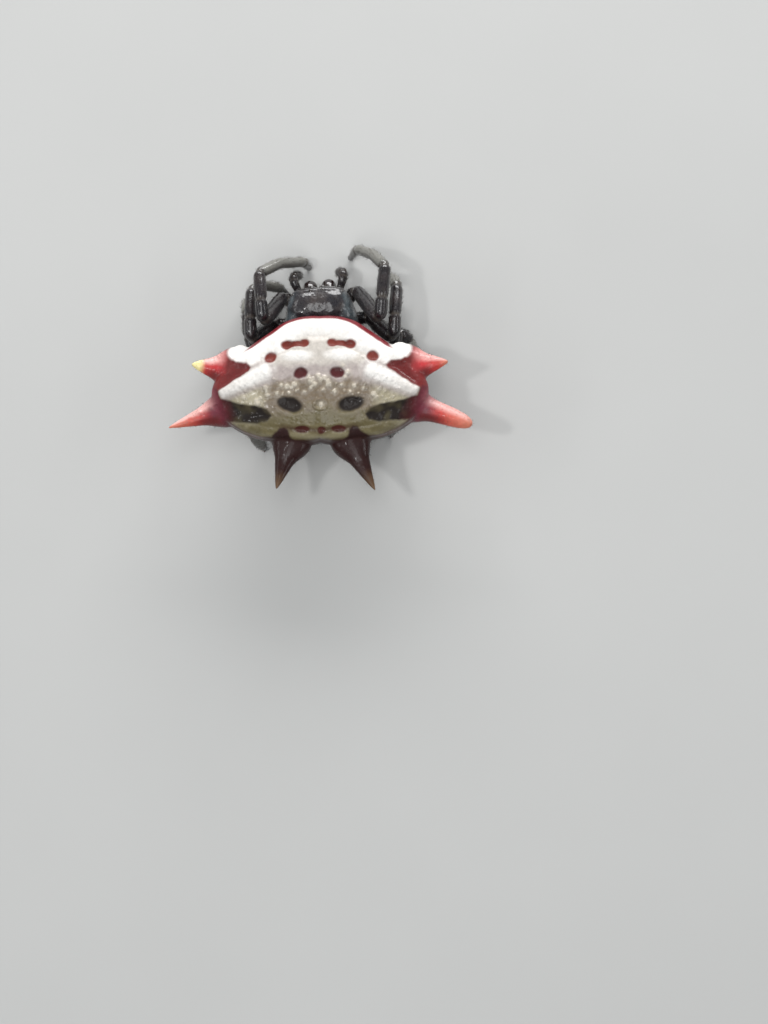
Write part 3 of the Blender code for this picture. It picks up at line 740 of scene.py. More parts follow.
def make_black_material(name, joints=False):
    """Black horn with a brown cast, a fine grain and a grey sheen; the painted sheen and highlight that a
    piece stores lighten it.
    """
    colour, warm, pale = BLACK_COLOURS[name]
    material, tree, shader, where = new_material(name, colour, 0.3, {
        "Specular IOR Level": 0.38, "Coat Weight": 0.55, "Coat Roughness": 0.12, "Sheen Weight": 0.06,
        "Sheen Roughness": 0.4})
    cloud = noise_of(tree, where, 1500.0, 4.0)
    grain = noise_of(tree, where, 14000.0, 2.0)
    base = mottled(tree, cloud, 0.40, 0.72, colour, warm)
    # painted sheen and highlight, where the piece stores them
    base = tint(tree, base, painted(tree, "painted_sheen"), pale, "MIX")
    if joints:
        share = map_range(tree, painted(tree, "near_joint"), 0.0, 1.0, 0.0, 0.8)
        base = tint(tree, base, share, JOINT_COLOUR, "MIX")
    set_inputs(tree, shader, {
        "Base Color": base,
        "Normal": bump(tree, [(grain, 0.6), (cloud, 0.8)], 0.00002, 0.7),
        "Roughness": map_range(tree, grain, 0.35, 0.65, 0.24, 0.36)})
    return material


def make_skin_material():
    """Soft brown skin of the spinnerets."""
    material, tree, shader, where = new_material("spinneret_skin", (0.09, 0.045, 0.025), 0.5)
    cloud = noise_of(tree, where, 4000.0)
    set_inputs(tree, shader, {
        "Base Color": mottled(tree, cloud, 0.35, 0.65, (0.11, 0.05, 0.028), (0.03, 0.016, 0.012)),
        "Normal": bump(tree, [(cloud, 1.0)], 0.00002, 0.6)})
    return material


def make_eye_material():
    """Black glass with a brown depth."""
    material, tree, shader, where = new_material("eye_lens", (0.006, 0.005, 0.006), 0.04, {
        "Coat Weight": 1.0, "Coat Roughness": 0.02})
    cloud = noise_of(tree, where, 6000.0, 2.0)
    tone = tint(tree, (0.004, 0.003, 0.004), cloud, (0.022, 0.010, 0.006), "MIX")
    set_inputs(tree, shader, {"Base Color": tone})
    return material


def make_jaw_material():
    """Dark brown horn that turns red towards the fang's tip."""
    material, tree, shader, where = new_material("jaw_horn", (0.03, 0.010, 0.008), 0.2, {
        "Coat Weight": 0.6, "Coat Roughness": 0.08})
    cloud = noise_of(tree, where, 3000.0)
    base = tint(tree, (0.016, 0.008, 0.008), painted(tree, "toward_tip"), (0.20, 0.030, 0.014), "MIX")
    set_inputs(tree, shader, {
        "Base Color": tint(tree, base, 0.8, map_range(tree, cloud, 0.3, 0.7, 0.7, 1.2)),
        "Normal": bump(tree, [(cloud, 1.0)], 0.00002, 0.5)})
    return material


def make_hair_material():
    material, tree, shader, where = new_material("hair", (0.06, 0.05, 0.04), 0.5)
    cloud = noise_of(tree, where, 5000.0, 2.0)
    set_inputs(tree, shader, {
        "Base Color": mottled(tree, cloud, 0.35, 0.65, (0.022, 0.018, 0.015), (0.13, 0.11, 0.09))})
    return material


def make_floor_material():
    material, tree, shader, where = new_material("floor_paper", FLOOR_COLOUR, 0.75)
    cloud = noise_of(tree, where, 60.0)
    set_inputs(tree, shader, {
        "Base Color": tint(tree, FLOOR_COLOUR, 1.0, map_range(tree, cloud, 0.3, 0.7, 0.98, 1.02))})
    return material


# Abdomen: shield, belly and spines in one skin

MARGIN = polar(SHIELD_MARGIN, SHIELD_CENTRE)


def margin_reach(spots):
    """How far out each point lies, as a share of the way from the shield's centre to its margin."""
    arms = spots[:, :2] - SHIELD_CENTRE
    angles = np.degrees(np.arctan2(arms[:, 1], np.abs(arms[:, 0])))
    return np.hypot(arms[:, 0], arms[:, 1]) / smooth(MARGIN, angles)


def make_abdomen_body():
    """Shield and belly in one: a sphere whose points are laid by the margin and the two profiles."""
    body = sphere("abdomen_skin", 192, 110)
    angle, lift, side = ball_angles(body)
    reach = smooth(MARGIN, angle)
    fall = smooth(BELLY_FALL, -lift)
    up = lift >= 0
    spread = np.where(up, smooth(SHIELD_SPREAD, lift), smooth(BELLY_SPREAD, -lift))
    height = np.where(up, smooth(SHIELD_RISE, lift) * DOME_RISE, -fall * BELLY_DROP)
    flat = SHIELD_CENTRE + side * (reach * spread)[:, None]
    flat[:, 1] -= np.where(up, 0.0, fall * BELLY_SHIFT)
    move_points(body, np.column_stack((flat, RIM_HEIGHT + height)))
    return body


def spine_lines():
    """For each spine: its kind, and its bent middle line with the half width and half height along it."""
    lines = []
    t = np.linspace(0.0, 1.0, 61)
    for kind, (root, bend, tip, width, thickness) in SPINES.items():
        for hand, _ in SIDES:
            flip = np.array((hand, 1.0, 1.0))
            lean = np.array((*RIGHT_LEAN[kind], 0.0)) if hand == 1 else np.zeros(3)
            a, b, c = np.array(root) * flip, np.array(bend) * flip, np.array(tip) * flip + lean
            along = a * ((1 - t) ** 2)[:, None] + b * (2 * t * (1 - t))[:, None] + c * (t * t)[:, None]
            size = smooth(STOUT_TAPER if (kind, hand) == ("side", 1) else SPINE_TAPER, t)
            lines.append((kind, t, along, width * size, thickness * size))
    return lines


def make_horn(kind, t, along, widths, heights):
    """A horn with an oval section along a bent line."""
    horn = sphere(f"{kind}_horn", 40, 72)
    part, around = way_up(horn)
    ways = unit(np.gradient(along, axis=0))
    across = unit(np.cross(ways, (0.0, 0.0, 1.0)))
    upward = np.cross(across, ways)
    closing = np.where((part < 1e-6) | (part > 1 - 1e-6), 0.0, 1.0)
    # the underside of the root is rounded, so that it flows out of the belly
    shrink = 1 - (1 - rounded(part / ROOT_ROUNDING)) * step(0.3, -0.5, np.sin(around))
    wide = np.interp(part, t, widths) * closing * shrink
    high = np.interp(part, t, heights) * closing * shrink
    out = rows_at(part, t, across) * (np.cos(around) * wide)[:, None]
    out += rows_at(part, t, upward) * (np.sin(around) * high)[:, None]
    move_points(horn, rows_at(part, t, along) + out)
    return horn


def to_line(spots, start, end):
    """Each point's distance from a line between two places seen from above, and its share of the way."""
    start, end = np.array(start), np.array(end)
    way = end - start
    share = ((spots[:, :2] - start) @ way) / (way @ way)
    nearest = start + np.clip(share, 0, 1)[:, None] * way
    return np.linalg.norm(spots[:, :2] - nearest, axis=1), share


def in_outline(spots, outline):
    """Signed distance inside an outline seen from above: above 0 within it."""
    x, y = spots[:, 0], spots[:, 1]
    nearest = np.full(len(spots), 1e9)
    crossings = np.zeros(len(spots), dtype=int)
    for (ax, ay), (bx, by) in zip(outline, outline[1:] + outline[:1]):
        distance, _ = to_line(spots, (ax, ay), (bx, by))
        nearest = np.minimum(nearest, distance)
        spans = (ay > y) != (by > y)
        crossing_x = ax + (y - ay) * (bx - ax) / ((by - ay) or 1e-9)
        crossings += (spans & (x < crossing_x)).astype(int)
    return np.where(crossings % 2 == 1, nearest, -nearest)


def spot_distance(spots, x, y, half_length, half_width, turn):
    """How far from an oval spot's middle each point lies, as a share of the spot's half size that way."""
    turn = math.radians(turn)
    dx, dy = spots[:, 0] - x, spots[:, 1] - y
    along = dx * math.cos(turn) + dy * math.sin(turn)
    across = -dx * math.sin(turn) + dy * math.cos(turn)
    return np.hypot(along / half_length, across / half_width)


def spine_shares(spots, lines):
    """For each kind of spine: how far along the nearest one each point lies, then its distance from the
    middle line and its distance ahead of it, both as shares of the half width there."""
    shares = {}
    for kind, t, line, widths, _ in lines:
        t, line, widths = t[::3], line[::3], np.maximum(widths[::3], 0.12)
        pace = np.gradient(line, axis=0) / np.gradient(t)[:, None]
        nearest = np.argmin(np.linalg.norm(spots[:, None, :] - line[None], axis=2), axis=1)
        gap = spots - line[nearest]
        past = np.sum(gap * pace[nearest], axis=1) / np.sum(pace[nearest] ** 2, axis=1)
        gap -= pace[nearest] * past[:, None]
        wide = np.interp(t[nearest] + past, t, widths)
        found = np.stack((t[nearest] + past, np.linalg.norm(gap, axis=1) / wide, gap[:, 1] / wide))
        shares[kind] = np.where(found[1] < shares[kind][1], found, shares[kind]) if kind in shares else found
    return shares


def shape_shield(spots, ways, folded, wander):
    """How far each point of the skin is raised or sunk, in millimetres, and what covers it."""
    above = step(RIM_HEIGHT + 0.10, RIM_HEIGHT + 0.45, spots[:, 2]) * step(0.1, 0.5, ways[:, 2])
    on_top = step(RIM_HEIGHT + 0.05, RIM_HEIGHT + 0.3, spots[:, 2])
    reach = margin_reach(spots)
    cover = {"above": above, "on_top": on_top, "reach": reach, "spots": {}}
    rise = np.zeros(len(spots))
    for number, (left, right, y, half_length, half_width, turn, depth, _) in enumerate(SPOTS):
        gap = np.full(len(spots), 9.0)
        for x, side_turn in ((left, -turn), (right, turn)):
            gap = np.minimum(gap, spot_distance(spots, x, y, half_length, half_width, side_turn))
        gap = gap + wander * 0.10
        cover["spots"][number] = step(1.18, 0.80, gap) * above
        rise -= SPOT_SINK * depth * step(1.25, 0.4, gap) * above
        rise += SPOT_LIP_RISE * hump(gap, 1.45, 0.25) * above
    # the fields sink below the white parts beside them, but the spines and the knobs don't
    knobs = knob_cover(spots, 0.25)
    beside = np.ones(len(spots))
    for name, outline in FIELDS.items():
        inside = in_outline(folded, outline) + wander * 0.035
        cover[name] = step(-0.05, 0.06, inside) * on_top
        beside *= 1 - step(-0.16, 0.16, inside)
        sunk = step(-0.05, 0.30, inside) * step(1.02, 0.80, reach) * (1 - knobs) * on_top
        rise -= FIELD_DEPTHS[name] * sunk
    distance, share = to_line(folded, RIDGE[0], RIDGE[1])
    ends = step(-0.3, 0.1, share) * step(1.06, 0.96, share)
    distance = distance + wander * 0.07
    cover["ridge"] = hump(distance, 0.0, RIDGE[2] * (1.1 - 0.35 * np.clip(share, 0, 1))) * ends * on_top
    rise += RIDGE_RISE * cover["ridge"] * beside
    cover["white"] = np.zeros(len(spots))
    for x, y, half_length, half_width, turn in CUSHIONS:
        gap = spot_distance(spots, x, y, half_length, half_width, turn) + wander * 0.12
        rise += CUSHION_RISE * step(1.3, 0.2, gap) * above
        cover["white"] = np.maximum(cover["white"], step(1.45, 0.60, gap))
    # a swollen white band runs along the front edge, with a furrow behind it
    depth_in = (1 - reach) * MARGIN_WIDTH
    front = step(-2.3, -1.6, spots[:, 1])
    cover["band"] = step(1.15, 0.88, depth_in + wander * 0.06) * step(-2.5, -2.2, spots[:, 1])
    rise += BAND_RISE * hump(depth_in, 0.50, 0.34) * front * above
    rise -= FURROW_DEPTH * hump(depth_in, 1.06, 0.16) * front * above
    # low middle keel, and a small pit behind it
    rise += KEEL_RISE * hump(spots[:, 0], 0.08, 0.20) * step(-0.6, -1.4, spots[:, 1]) * above
    pit = spot_distance(spots, *PIT)
    rise -= PIT_DEPTH * step(1.25, 0.5, pit) * above
    rise += PIT_LIP_RISE * hump(pit, 1.5, 0.25) * above
    # the rear edge has a shallow groove and a raised lip
    rear = step(-4.6, -5.0, spots[:, 1])
    rise -= REAR_GROOVE_DEPTH * hump(depth_in, 0.40, 0.10) * rear * above
    rise += REAR_LIP_RISE * hump(depth_in, 0.14, 0.10) * rear * on_top
    return rise, cover


def rough_band(spots, above):
    """Where the shield is grainy: across its middle, widening to the sides."""
    band = step(-2.75, -3.05, spots[:, 1]) * step(-4.25, -3.75, spots[:, 1])
    return band * step(3.9, 3.2, np.abs(spots[:, 0])) * above


def knob_cover(spots, margin, wander=0.0):
    """1 on the two knobs at the roots of the front spines, and 0 beyond a margin round them."""
    (x, y, z), radius = KNOB
    middle = np.array((x, y, z + KNOB_CAP_LIFT))
    gap = np.linalg.norm(np.column_stack((np.abs(spots[:, 0]), spots[:, 1:])) - middle, axis=1)
    low, high = (RIM_HEIGHT - depth for depth in KNOB_CAP_END)
    return step(radius + margin, radius, gap + wander) * step(low, high, spots[:, 2])


def lay(colour, *layers):
    """Lays named colours over the colours so far, each with its share at every point."""
    for name, share in layers:
        colour = colour + (np.array(COLOURS[name]) - colour) * share[:, None]
    return colour


def spine_colours(kind, x, upward, along, ahead, wander):
    """Colours along a kind of spine. Front and side ones get a painted highlight on their upper side ahead,
    stronger on the left ones, and painted shade at the root behind.
    """
    places = [place for place, _ in SPINE_COLOURS[kind]]
    stops = np.array([COLOURS[name] for _, name in SPINE_COLOURS[kind]])
    shades = rows_at(along + wander * 0.02, places, stops)
    if kind == "rear":
        return shades
    # painted highlight: the upper side that faces the head is laid pinkish, more on the left spines
    pale = step(-0.10, 0.45, ahead + wander * 0.1) * step(0.32, 0.56, along) * step(1.05, 0.85, along)
    pale *= step(-0.40, 0.25, upward)
    root = step(0.80, 0.52, along) * (step(0.32, 0.42, along) if kind == "side" else 1.0)
    return lay(
        shades,
        ("pink_highlight", np.where(x < 0, 0.86, 0.66) * pale),
        # painted shade: the side behind, near the root, is darkened to the dark field's colour
        ("wedge", 0.9 * step(-0.15, -0.65, ahead) * root),
    )


def shield_colours(spots, ways, cover, wander, shares, grain):
    """The skin's colour at each point, in layers: shell, spots, rim and belly, then spines and knobs."""
    x, y, z = spots.T
    off = np.abs(x)
    # the rear row of spots lies in a brown groove, with a paler lip behind it
    groove = hump(y + wander * 0.02, -5.13 + 0.05 * x * x, 0.12) * step(1.9, 1.4, off)
    lip = hump(y + wander * 0.02, -5.34 + 0.06 * x * x, 0.07) * step(1.5, 1.1, off)
    fading = 1 - 0.30 * step(2.6, 3.8, off)
    # the shell's ground is greyer than white as painted shade in the hollows; the raised band, cushions and
    # ridges are laid white over it
    colour = lay(
        np.tile(np.array(COLOURS["hollow_shade_grey"]), (len(spots), 1)),
        ("pink_grey", step(-2.20, -2.55, y + wander * 0.12) * step(2.2, 1.6, off)),
        ("white", np.maximum(cover["band"], cover["white"])),
        # pale khaki and, further back, khaki: partly the shell's own yellowish tone, partly painted shade on
        # its rear slope
        ("pale_khaki_and_shade", step(-2.78, -3.20, y + wander * 0.16 + 0.04 * off)),
        ("side_khaki", step(2.0, 2.8, off + wander * 0.2) * step(-2.8, -3.1, y)),
        ("khaki", step(-3.70, -4.50, y + wander * 0.25 + 0.20 * off)),
        ("olive", step(-4.75, -5.15, y + wander * 0.15 + 0.10 * off)),
        ("groove_brown", 0.80 * groove * cover["above"]),
        ("side_khaki", 0.30 * lip),
        # the grains are laid pale, partly their own paleness, partly painted glints, with a faint painted
        # glow round the large ones
        ("grain", grain * 0.7),
        ("pink_grey", 0.8 * step(0.04, 0.36, cover["ridge"] + wander * 0.10)),
        ("white", fading * step(0.28, 0.88, cover["ridge"] + wander * 0.08)),
        *((SPOTS[number][-1], share) for number, share in cover["spots"].items()),
    )
    in_front = step(-2.3, -1.7, y)
    at_side = step(3.7, 4.2, off)
    widening = np.maximum(0.080 * in_front, 0.060 * at_side)
    edge = step(0.0, 0.03, cover["reach"] + wander * 0.006 - 0.975 + widening)
    low = np.maximum(step(RIM_HEIGHT + 0.30, RIM_HEIGHT + 0.16, z + wander * 0.05), edge)
    dots = step(0.30, 0.20, grains(spots, 0.42, 3.0)) * step(0.05, 0.20, ripple(spots, 0.9, 5.0))
    colour = lay(
        colour,
        ("rim_brown", low * (1 - in_front)),
        ("plum", low * at_side),
        ("rim_red", low * in_front),
        ("belly", step(RIM_HEIGHT - 0.05, RIM_HEIGHT - 0.35, z)),
        ("belly_spot", 0.8 * dots * step(RIM_HEIGHT - 0.5, RIM_HEIGHT - 0.9, z) * step(0.9, 1.3, z)),
    )
    for kind, (along, ratio, ahead) in shares.items():
        out = step(1.75, 1.35, ratio) * step(0.95, 1.02, cover["reach"])
        shades = spine_colours(kind, x, ways[:, 2], along, ahead, wander)
        colour = colour + (shades - colour) * np.maximum(cover[kind], out)[:, None]
    mottle = step(-0.15, 0.60, ripple(spots, 0.34, 41.0)) * step(3.9, 3.4, off)
    mottle *= cover["side"] * cover["above"]
    along, ratio, _ = shares["front"]
    return lay(
        colour,
        ("khaki", 0.34 * mottle),
        ("yellow", step(0.70, 0.84, along + wander * 0.02) * step(1.7, 1.4, ratio) * step(0, -1, x)),
        ("white", knob_cover(spots, 0.19, wander * 0.012)),
    )


def fold_belly(spots):
    """Soft folds that ring the belly, and two smooth covers of the breathing slits near its front."""
    under = step(RIM_HEIGHT - 0.25, RIM_HEIGHT - 0.7, spots[:, 2]) * step(0.95, 1.35, spots[:, 2])
    height = spots[:, 2] + ripple(spots, 0.9, 11.0) * 0.10
    rise = FOLD_RISE * np.sin(height * 2 * math.pi / FOLD_SPACING) * under
    rise += WRINKLE_RISE * ripple(spots, 0.35, 17.0) * under
    for hand, _ in SIDES:
        place = np.array(SLIT_COVER_PLACE) * np.array((hand, 1.0, 1.0))
        gap = np.linalg.norm((spots - place) / np.array(SLIT_COVER_SIZE), axis=1)
        rise = rise * step(0.8, 1.1, gap) + SLIT_COVER_RISE * step(1.1, 0.6, gap)
    return rise


def stand_grains(spots, cover, band):
    """Grains that stand up in the rough band and, finer, round it: their rise and their share of the pale
    grain colour, which is partly painted glint, with a faint painted glow round the large ones.
    """
    near = grains(spots, 0.19, 1.0)
    small = step(0.40, 0.12, near) * band * step(-0.2, 0.3, ripple(spots, 0.5, 9.0))
    shifted = spots[:, :2] + 0.05 * np.column_stack((ripple(spots, 0.11, 51.0), ripple(spots, 0.11, 53.0)))
    large, patch = np.zeros(len(spots)), np.zeros(len(spots))
    for x, y, radius in GRAINS:
        gap = np.hypot(shifted[:, 0] - x, shifted[:, 1] - y) / radius
        large = np.maximum(large, radius * step(1.35, 0.35, gap))
        patch = np.maximum(patch, step(2.4, 1.0, gap))
    large *= step(RIM_HEIGHT, RIM_HEIGHT + 0.2, spots[:, 2])
    rise = GRAIN_RISE * small + LARGE_GRAIN_RISE * large
    plain = (1 - band) * (1 - knob_cover(spots, 0.35))
    rise += FINE_GRAIN_RISE * step(0.45, 0.15, near) * cover["above"] * plain * step(-1.2, -2.0, spots[:, 1])
    # the pale share adds a faint painted glow round the large grains
    return rise, np.maximum(np.maximum(small, np.clip(large * 12, 0, 1)), 0.30 * patch * cover["above"])


def soften_joins(body):
    """Rounds the creases where the spines and the knobs leave the shield."""
    reach = margin_reach(points_of(body))
    weight = step(0.92, 0.99, reach) * step(1.25, 1.08, reach)
    joins = body.vertex_groups.new(name="joins")
    for level in (0.25, 0.5, 0.75, 1.0):
        joins.add(np.flatnonzero(weight > level - 0.125).tolist(), level, "REPLACE")
    modify(body, "SMOOTH", factor=0.5, iterations=16, vertex_group=joins.name)
    body.vertex_groups.clear()


def make_abdomen(shell):
    """The shield, belly, spines and knobs, melted into one skin, then shaped in relief and coloured."""
    body = make_abdomen_body()
    lines = spine_lines()
    horns = [make_horn(*line) for line in lines]
    (x, y, z), radius = KNOB
    knobs = [ball("knob", (hand * x, y, z), radius) for hand, _ in SIDES]
    body = join([body, *horns, *knobs])
    modify(body, "REMESH", mode="VOXEL", voxel_size=ABDOMEN_VOXEL)
    modify(body, "SMOOTH", factor=0.5, iterations=5)
    soften_joins(body)
    spots, ways = points_of(body), normals_of(body)
    folded = spots * np.where(spots[:, :1] < 0, (-1.0, 1.0, 1.0), (1.0, 1.0, 1.0))
    wander = ripple(spots, 0.35) + 0.5 * ripple(spots, 0.14, 7.0)
    rise, cover = shape_shield(spots, ways, folded, wander)
    shares = spine_shares(spots, lines)
    ratio = np.min([share[1] for share in shares.values()], axis=0)
    along = np.max([np.where(ratio < 1.5, share[0], 0) for share in shares.values()], axis=0)
    on_spine = step(1.5, 1.2, ratio) * step(1.0, 1.1, cover["reach"]) * step(0.95, 0.80, along)
    band = rough_band(spots, cover["above"])
    grain_rise, grain = stand_grains(spots, cover, band)
    rise += grain_rise + fold_belly(spots)
    rise += SPINE_GRAIN_RISE * step(0.36, 0.12, grains(spots, 0.26, 2.0)) * on_spine
    rise += UNEVEN_RISE * ripple(spots, 0.5, 23.0)
    move_points(body, spots + ways * rise[:, None])
    dark = np.max(list(cover["spots"].values()), axis=0)
    colours = shield_colours(spots, ways, cover, wander, shares, grain)
    colours *= (1 + 0.12 * ripple(spots, 0.12, 31.0) * np.maximum(band, 0.3))[:, None]
    dull = np.clip(dark + cover["side"] * cover["above"] + cover["rear"], 0, 1)
    paint(body, "shell_colour", np.clip(colours, 0, 1))
    paint(body, "shell_rough", np.clip(0.15 + 0.85 * band + 0.1 * on_spine, 0, 1) * (1 - dark))
    paint(body, "shell_dull", dull - 0.6 * grain)
    settle(body, shell, "abdomen_shell", "abdomen")
    return body


# Spinnerets

def make_spinnerets(skin):
    """Three pairs of short cones on a folded ring under the belly."""
    low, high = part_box("spinnerets")
    floor_of_cones, top = low.z / MM, high.z / MM
    middle = (low.y + high.y) / 2 / MM - FRAME_Y
    ring_bottom = top - CONE_RING_HEIGHT
    ring_spots = np.array([(0, middle, z) for z in np.linspace(top + 0.45, ring_bottom, 24)])
    ring_radii = CONE_RING_RADIUS + 0.02 * np.sin(np.arange(24) * 1.9)
    pieces = [limb("spinnerets_ring", ring_spots, ring_radii, sides=48)[0]]
    for across, along, radius, length in CONES:
        for hand, _ in SIDES:
            drop = (ring_bottom - floor_of_cones) * length
            foot = (hand * across, middle + along, ring_bottom + 0.15)
            waist = (hand * across * 0.96, middle + along, ring_bottom - drop * 0.5)
            end = (hand * across * 0.72, middle + along * 0.8, ring_bottom - drop)
            spots, reached = bent_path([foot, waist, end])
            radii = np.interp(reached, *CONE_PROFILE) * radius
            pieces.append(limb("cone", spots, radii, sides=20, rings=26)[0])
    tubercle = ball("tubercle", (0.0, middle - 0.42, ring_bottom + 0.08), 0.13, 20, 14)
    thing = join([*pieces, tubercle])
    thing.name = "spinnerets_skin"
    settle(thing, skin, "spinneret_skin", "spinnerets")


# Cephalothorax

CARAPACE = polar(CARAPACE_MARGIN, CARAPACE_CENTRE)


def make_cephalothorax(black):
    """The head and thorax in one shell, with its grooves, its eye mounds and a rolled edge."""
    body = sphere("cephalothorax_shell", 160, 110)
    angle, lift, side = ball_angles(body)
    reach = smooth(CARAPACE, angle)
    up = lift >= 0
    spread = np.where(up, smooth(CARAPACE_SPREAD, lift), smooth(STERNUM_SPREAD, -lift))
    flat = CARAPACE_CENTRE + side * (reach * spread)[:, None]
    rise = smooth(CARAPACE_HEIGHT, flat[:, 1]) * smooth(CARAPACE_RISE, lift)
    height = np.where(up, rise, -smooth(STERNUM_FALL, -lift) * STERNUM_DROP)
    move_points(body, np.column_stack((flat, CARAPACE_MARGIN_HEIGHT + height)))
    face_out(body)
    spots, ways = points_of(body), normals_of(body)
    folded = np.abs(spots[:, 0])
    top = step(CARAPACE_MARGIN_HEIGHT + 0.1, CARAPACE_MARGIN_HEIGHT + 0.5, spots[:, 2])
    seen_from_above = np.column_stack((folded, spots[:, 1]))
    # grooves part the head from the thorax, run to a pit in the middle and fan out behind it
    groove, _ = to_line(seen_from_above, *HEAD_GROOVE)
    rise = -HEAD_GROOVE_DEPTH * hump(groove, 0.0, 0.13) * top
    rise -= THORAX_PIT_DEPTH * hump(np.hypot(spots[:, 0], spots[:, 1] - THORAX_PIT_Y), 0.0, 0.13) * top
    for end in FURROW_ENDS:
        furrow, _ = to_line(seen_from_above, FURROW_START, end)
        rise -= THORAX_FURROW_DEPTH * hump(furrow, 0.0, 0.09) * top
    # the middle eyes stand on a low mound, the side eyes on knobs at the head's corners
    front = step(0.9, 1.3, spots[:, 1]) * top
    rise += 0.030 * hump(spots[:, 0], 0.0, 0.30) * front
    rise += 0.045 * hump(spots[:, 1], 1.36, 0.08) * step(2.2, 2.4, spots[:, 2])
    rise += 0.045 * np.exp(-((folded - 1.02) ** 2 + (spots[:, 2] - 2.25) ** 2) / 0.05) * front
    # a thin rolled edge round the carapace
    rise += CARAPACE_EDGE_RISE * hump(spots[:, 2], CARAPACE_MARGIN_HEIGHT + 0.02, 0.05)
    rise += 0.012 * step(0.45, 0.1, grains(spots, 0.16, 4.0)) * top
    rise += 0.016 * ripple(spots, 0.30, 3.0)
    move_points(body, turned(spots + ways * rise[:, None]))
    # painted sheen: the flanks are lightened to a bluish grey
    flanks = step(0.95, 1.35, folded + 0.25 * ripple(spots, 0.4, 13.0)) * step(1.6, 1.9, spots[:, 2])
    paint(body, "painted_sheen", 0.8 * flanks)
    settle(body, black, "black_shell", "cephalothorax")
    return body


def make_eyes(eye, black):
    """Glossy lenses, each in a low rolled rim."""
    inside = Vector(turned((0.0, 0.9, 1.7)))
    for _, side in SIDES:
        for name in EYES:
            node = f"eye_{name}_{side}"
            low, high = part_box(node)
            centre = (low + high) / 2 / MM - Vector((0.0, FRAME_Y, 0.0))
            radius = (high.x - low.x) / 2 / MM * LENS_SHARE
            outward = (centre - inside).normalized()
            lens = ball(f"{node}_lens", centre - outward * LENS_SUNK, radius, 40, 26)
            settle(lens, eye, "eye_lens", node)
            bpy.ops.mesh.primitive_torus_add(major_segments=40, minor_segments=12, major_radius=radius,
                                             minor_radius=EYE_RIM_THICKNESS, location=(0, 0, 0))
            rim = named(f"{node}_rim")
            turn = Vector((0, 0, 1)).rotation_difference(outward).to_matrix().to_4x4()
            rim.data.transform(Matrix.Translation(centre - outward * EYE_RIM_SUNK) @ turn)
            settle(rim, black, "black_shell")


def make_mouth_piece(name, size, place, segments, rings, redness, horn):
    """A flattened ball between the jaws."""
    piece = ball(name, (0.0, 0.0, 0.0), 1.0, segments, rings)
    shape = points_of(piece) * np.array(size)
    move_points(piece, turned(shape + np.array(place)))
    paint(piece, "toward_tip", np.full(len(shape), redness))
    settle(piece, horn, "jaw_shell")


def make_jaws(horn):
    """Stout jaw bases, each with its folded fang, and the lip and mouth plates between them."""
    for hand, side in SIDES:
        base, _ = tapered_limb(f"chelicera_{side}_base", turned(mirrored(JAW_PATH, hand)), JAW_RADII, 36)
        paint(base, "toward_tip", 0.25 * step(0.7, 0.4, points_of(base)[:, 2]))
        settle(base, horn, "jaw_shell", f"chelicera_{side}")
        path = turned(mirrored(FANG_PATH, hand))
        fang, at = tapered_limb(f"chelicera_{side}_fang", path, FANG_RADII, 20, 40)
        paint(fang, "toward_tip", at / at.max())
        settle(fang, horn, "jaw_shell")
        place = mirrored([MOUTH_PLATE_PLACE], hand)[0]
        make_mouth_piece(f"mouth_plate_{side}", MOUTH_PLATE_SIZE, place, 28, 20, 0.15, horn)
    make_mouth_piece("mouth_lip", MOUTH_LIP_SIZE, MOUTH_LIP_PLACE, 24, 16, 0.1, horn)


def make_pedicel(black):
    """The narrow neck between head and abdomen, with low rings."""
    spots, reached = bent_path(PEDICEL_PATH)
    radii = np.interp(reached, range(len(PEDICEL_RADII)), PEDICEL_RADII)
    radii *= 1 + 0.05 * np.sin(np.arange(len(radii)) * 1.1)
    tube, _ = limb("pedicel_tube", spots, radii, sides=32)
    settle(tube, black, "black_shell", "pedicel")


# Legs and palps

def segment_shape(reached, radii, bulge, real_joints):
    """The radius along a limb: fuller in the middle of each segment, drawn in and ringed at each joint."""
    low = np.clip(np.floor(reached).astype(int), 0, len(radii) - 2)
    u = reached - low
    radii, bulge = np.array(radii), np.array(bulge)
    radius = radii[low] + (radii[low + 1] - radii[low]) * u
    radius *= 1 + (bulge[low] - 1) * np.sin(np.pi * np.clip(u, 0, 1))
    near = np.zeros(len(reached))
    for joint in real_joints:
        radius *= 1 - 0.17 * hump(reached, joint, 0.045) + 0.05 * hump(reached, joint - 0.13, 0.06)
        near = np.maximum(near, hump(reached, joint, 0.035))
    return radius, near


def jointed_limb(name, joints, radii, bulge, real_joints):
    """A limb with swollen segments. Gives it, the joint reached at each point, its path and its radii."""
    spots, reached = bent_path(joints)
    widths, near = segment_shape(reached, radii, bulge, real_joints)
    skin, at = limb(name, spots, widths, sides=28)
    lengths = lengths_along(spots)
    paint(skin, "near_joint", np.interp(at, lengths, near))
    return skin, np.interp(at, lengths, reached), spots, widths


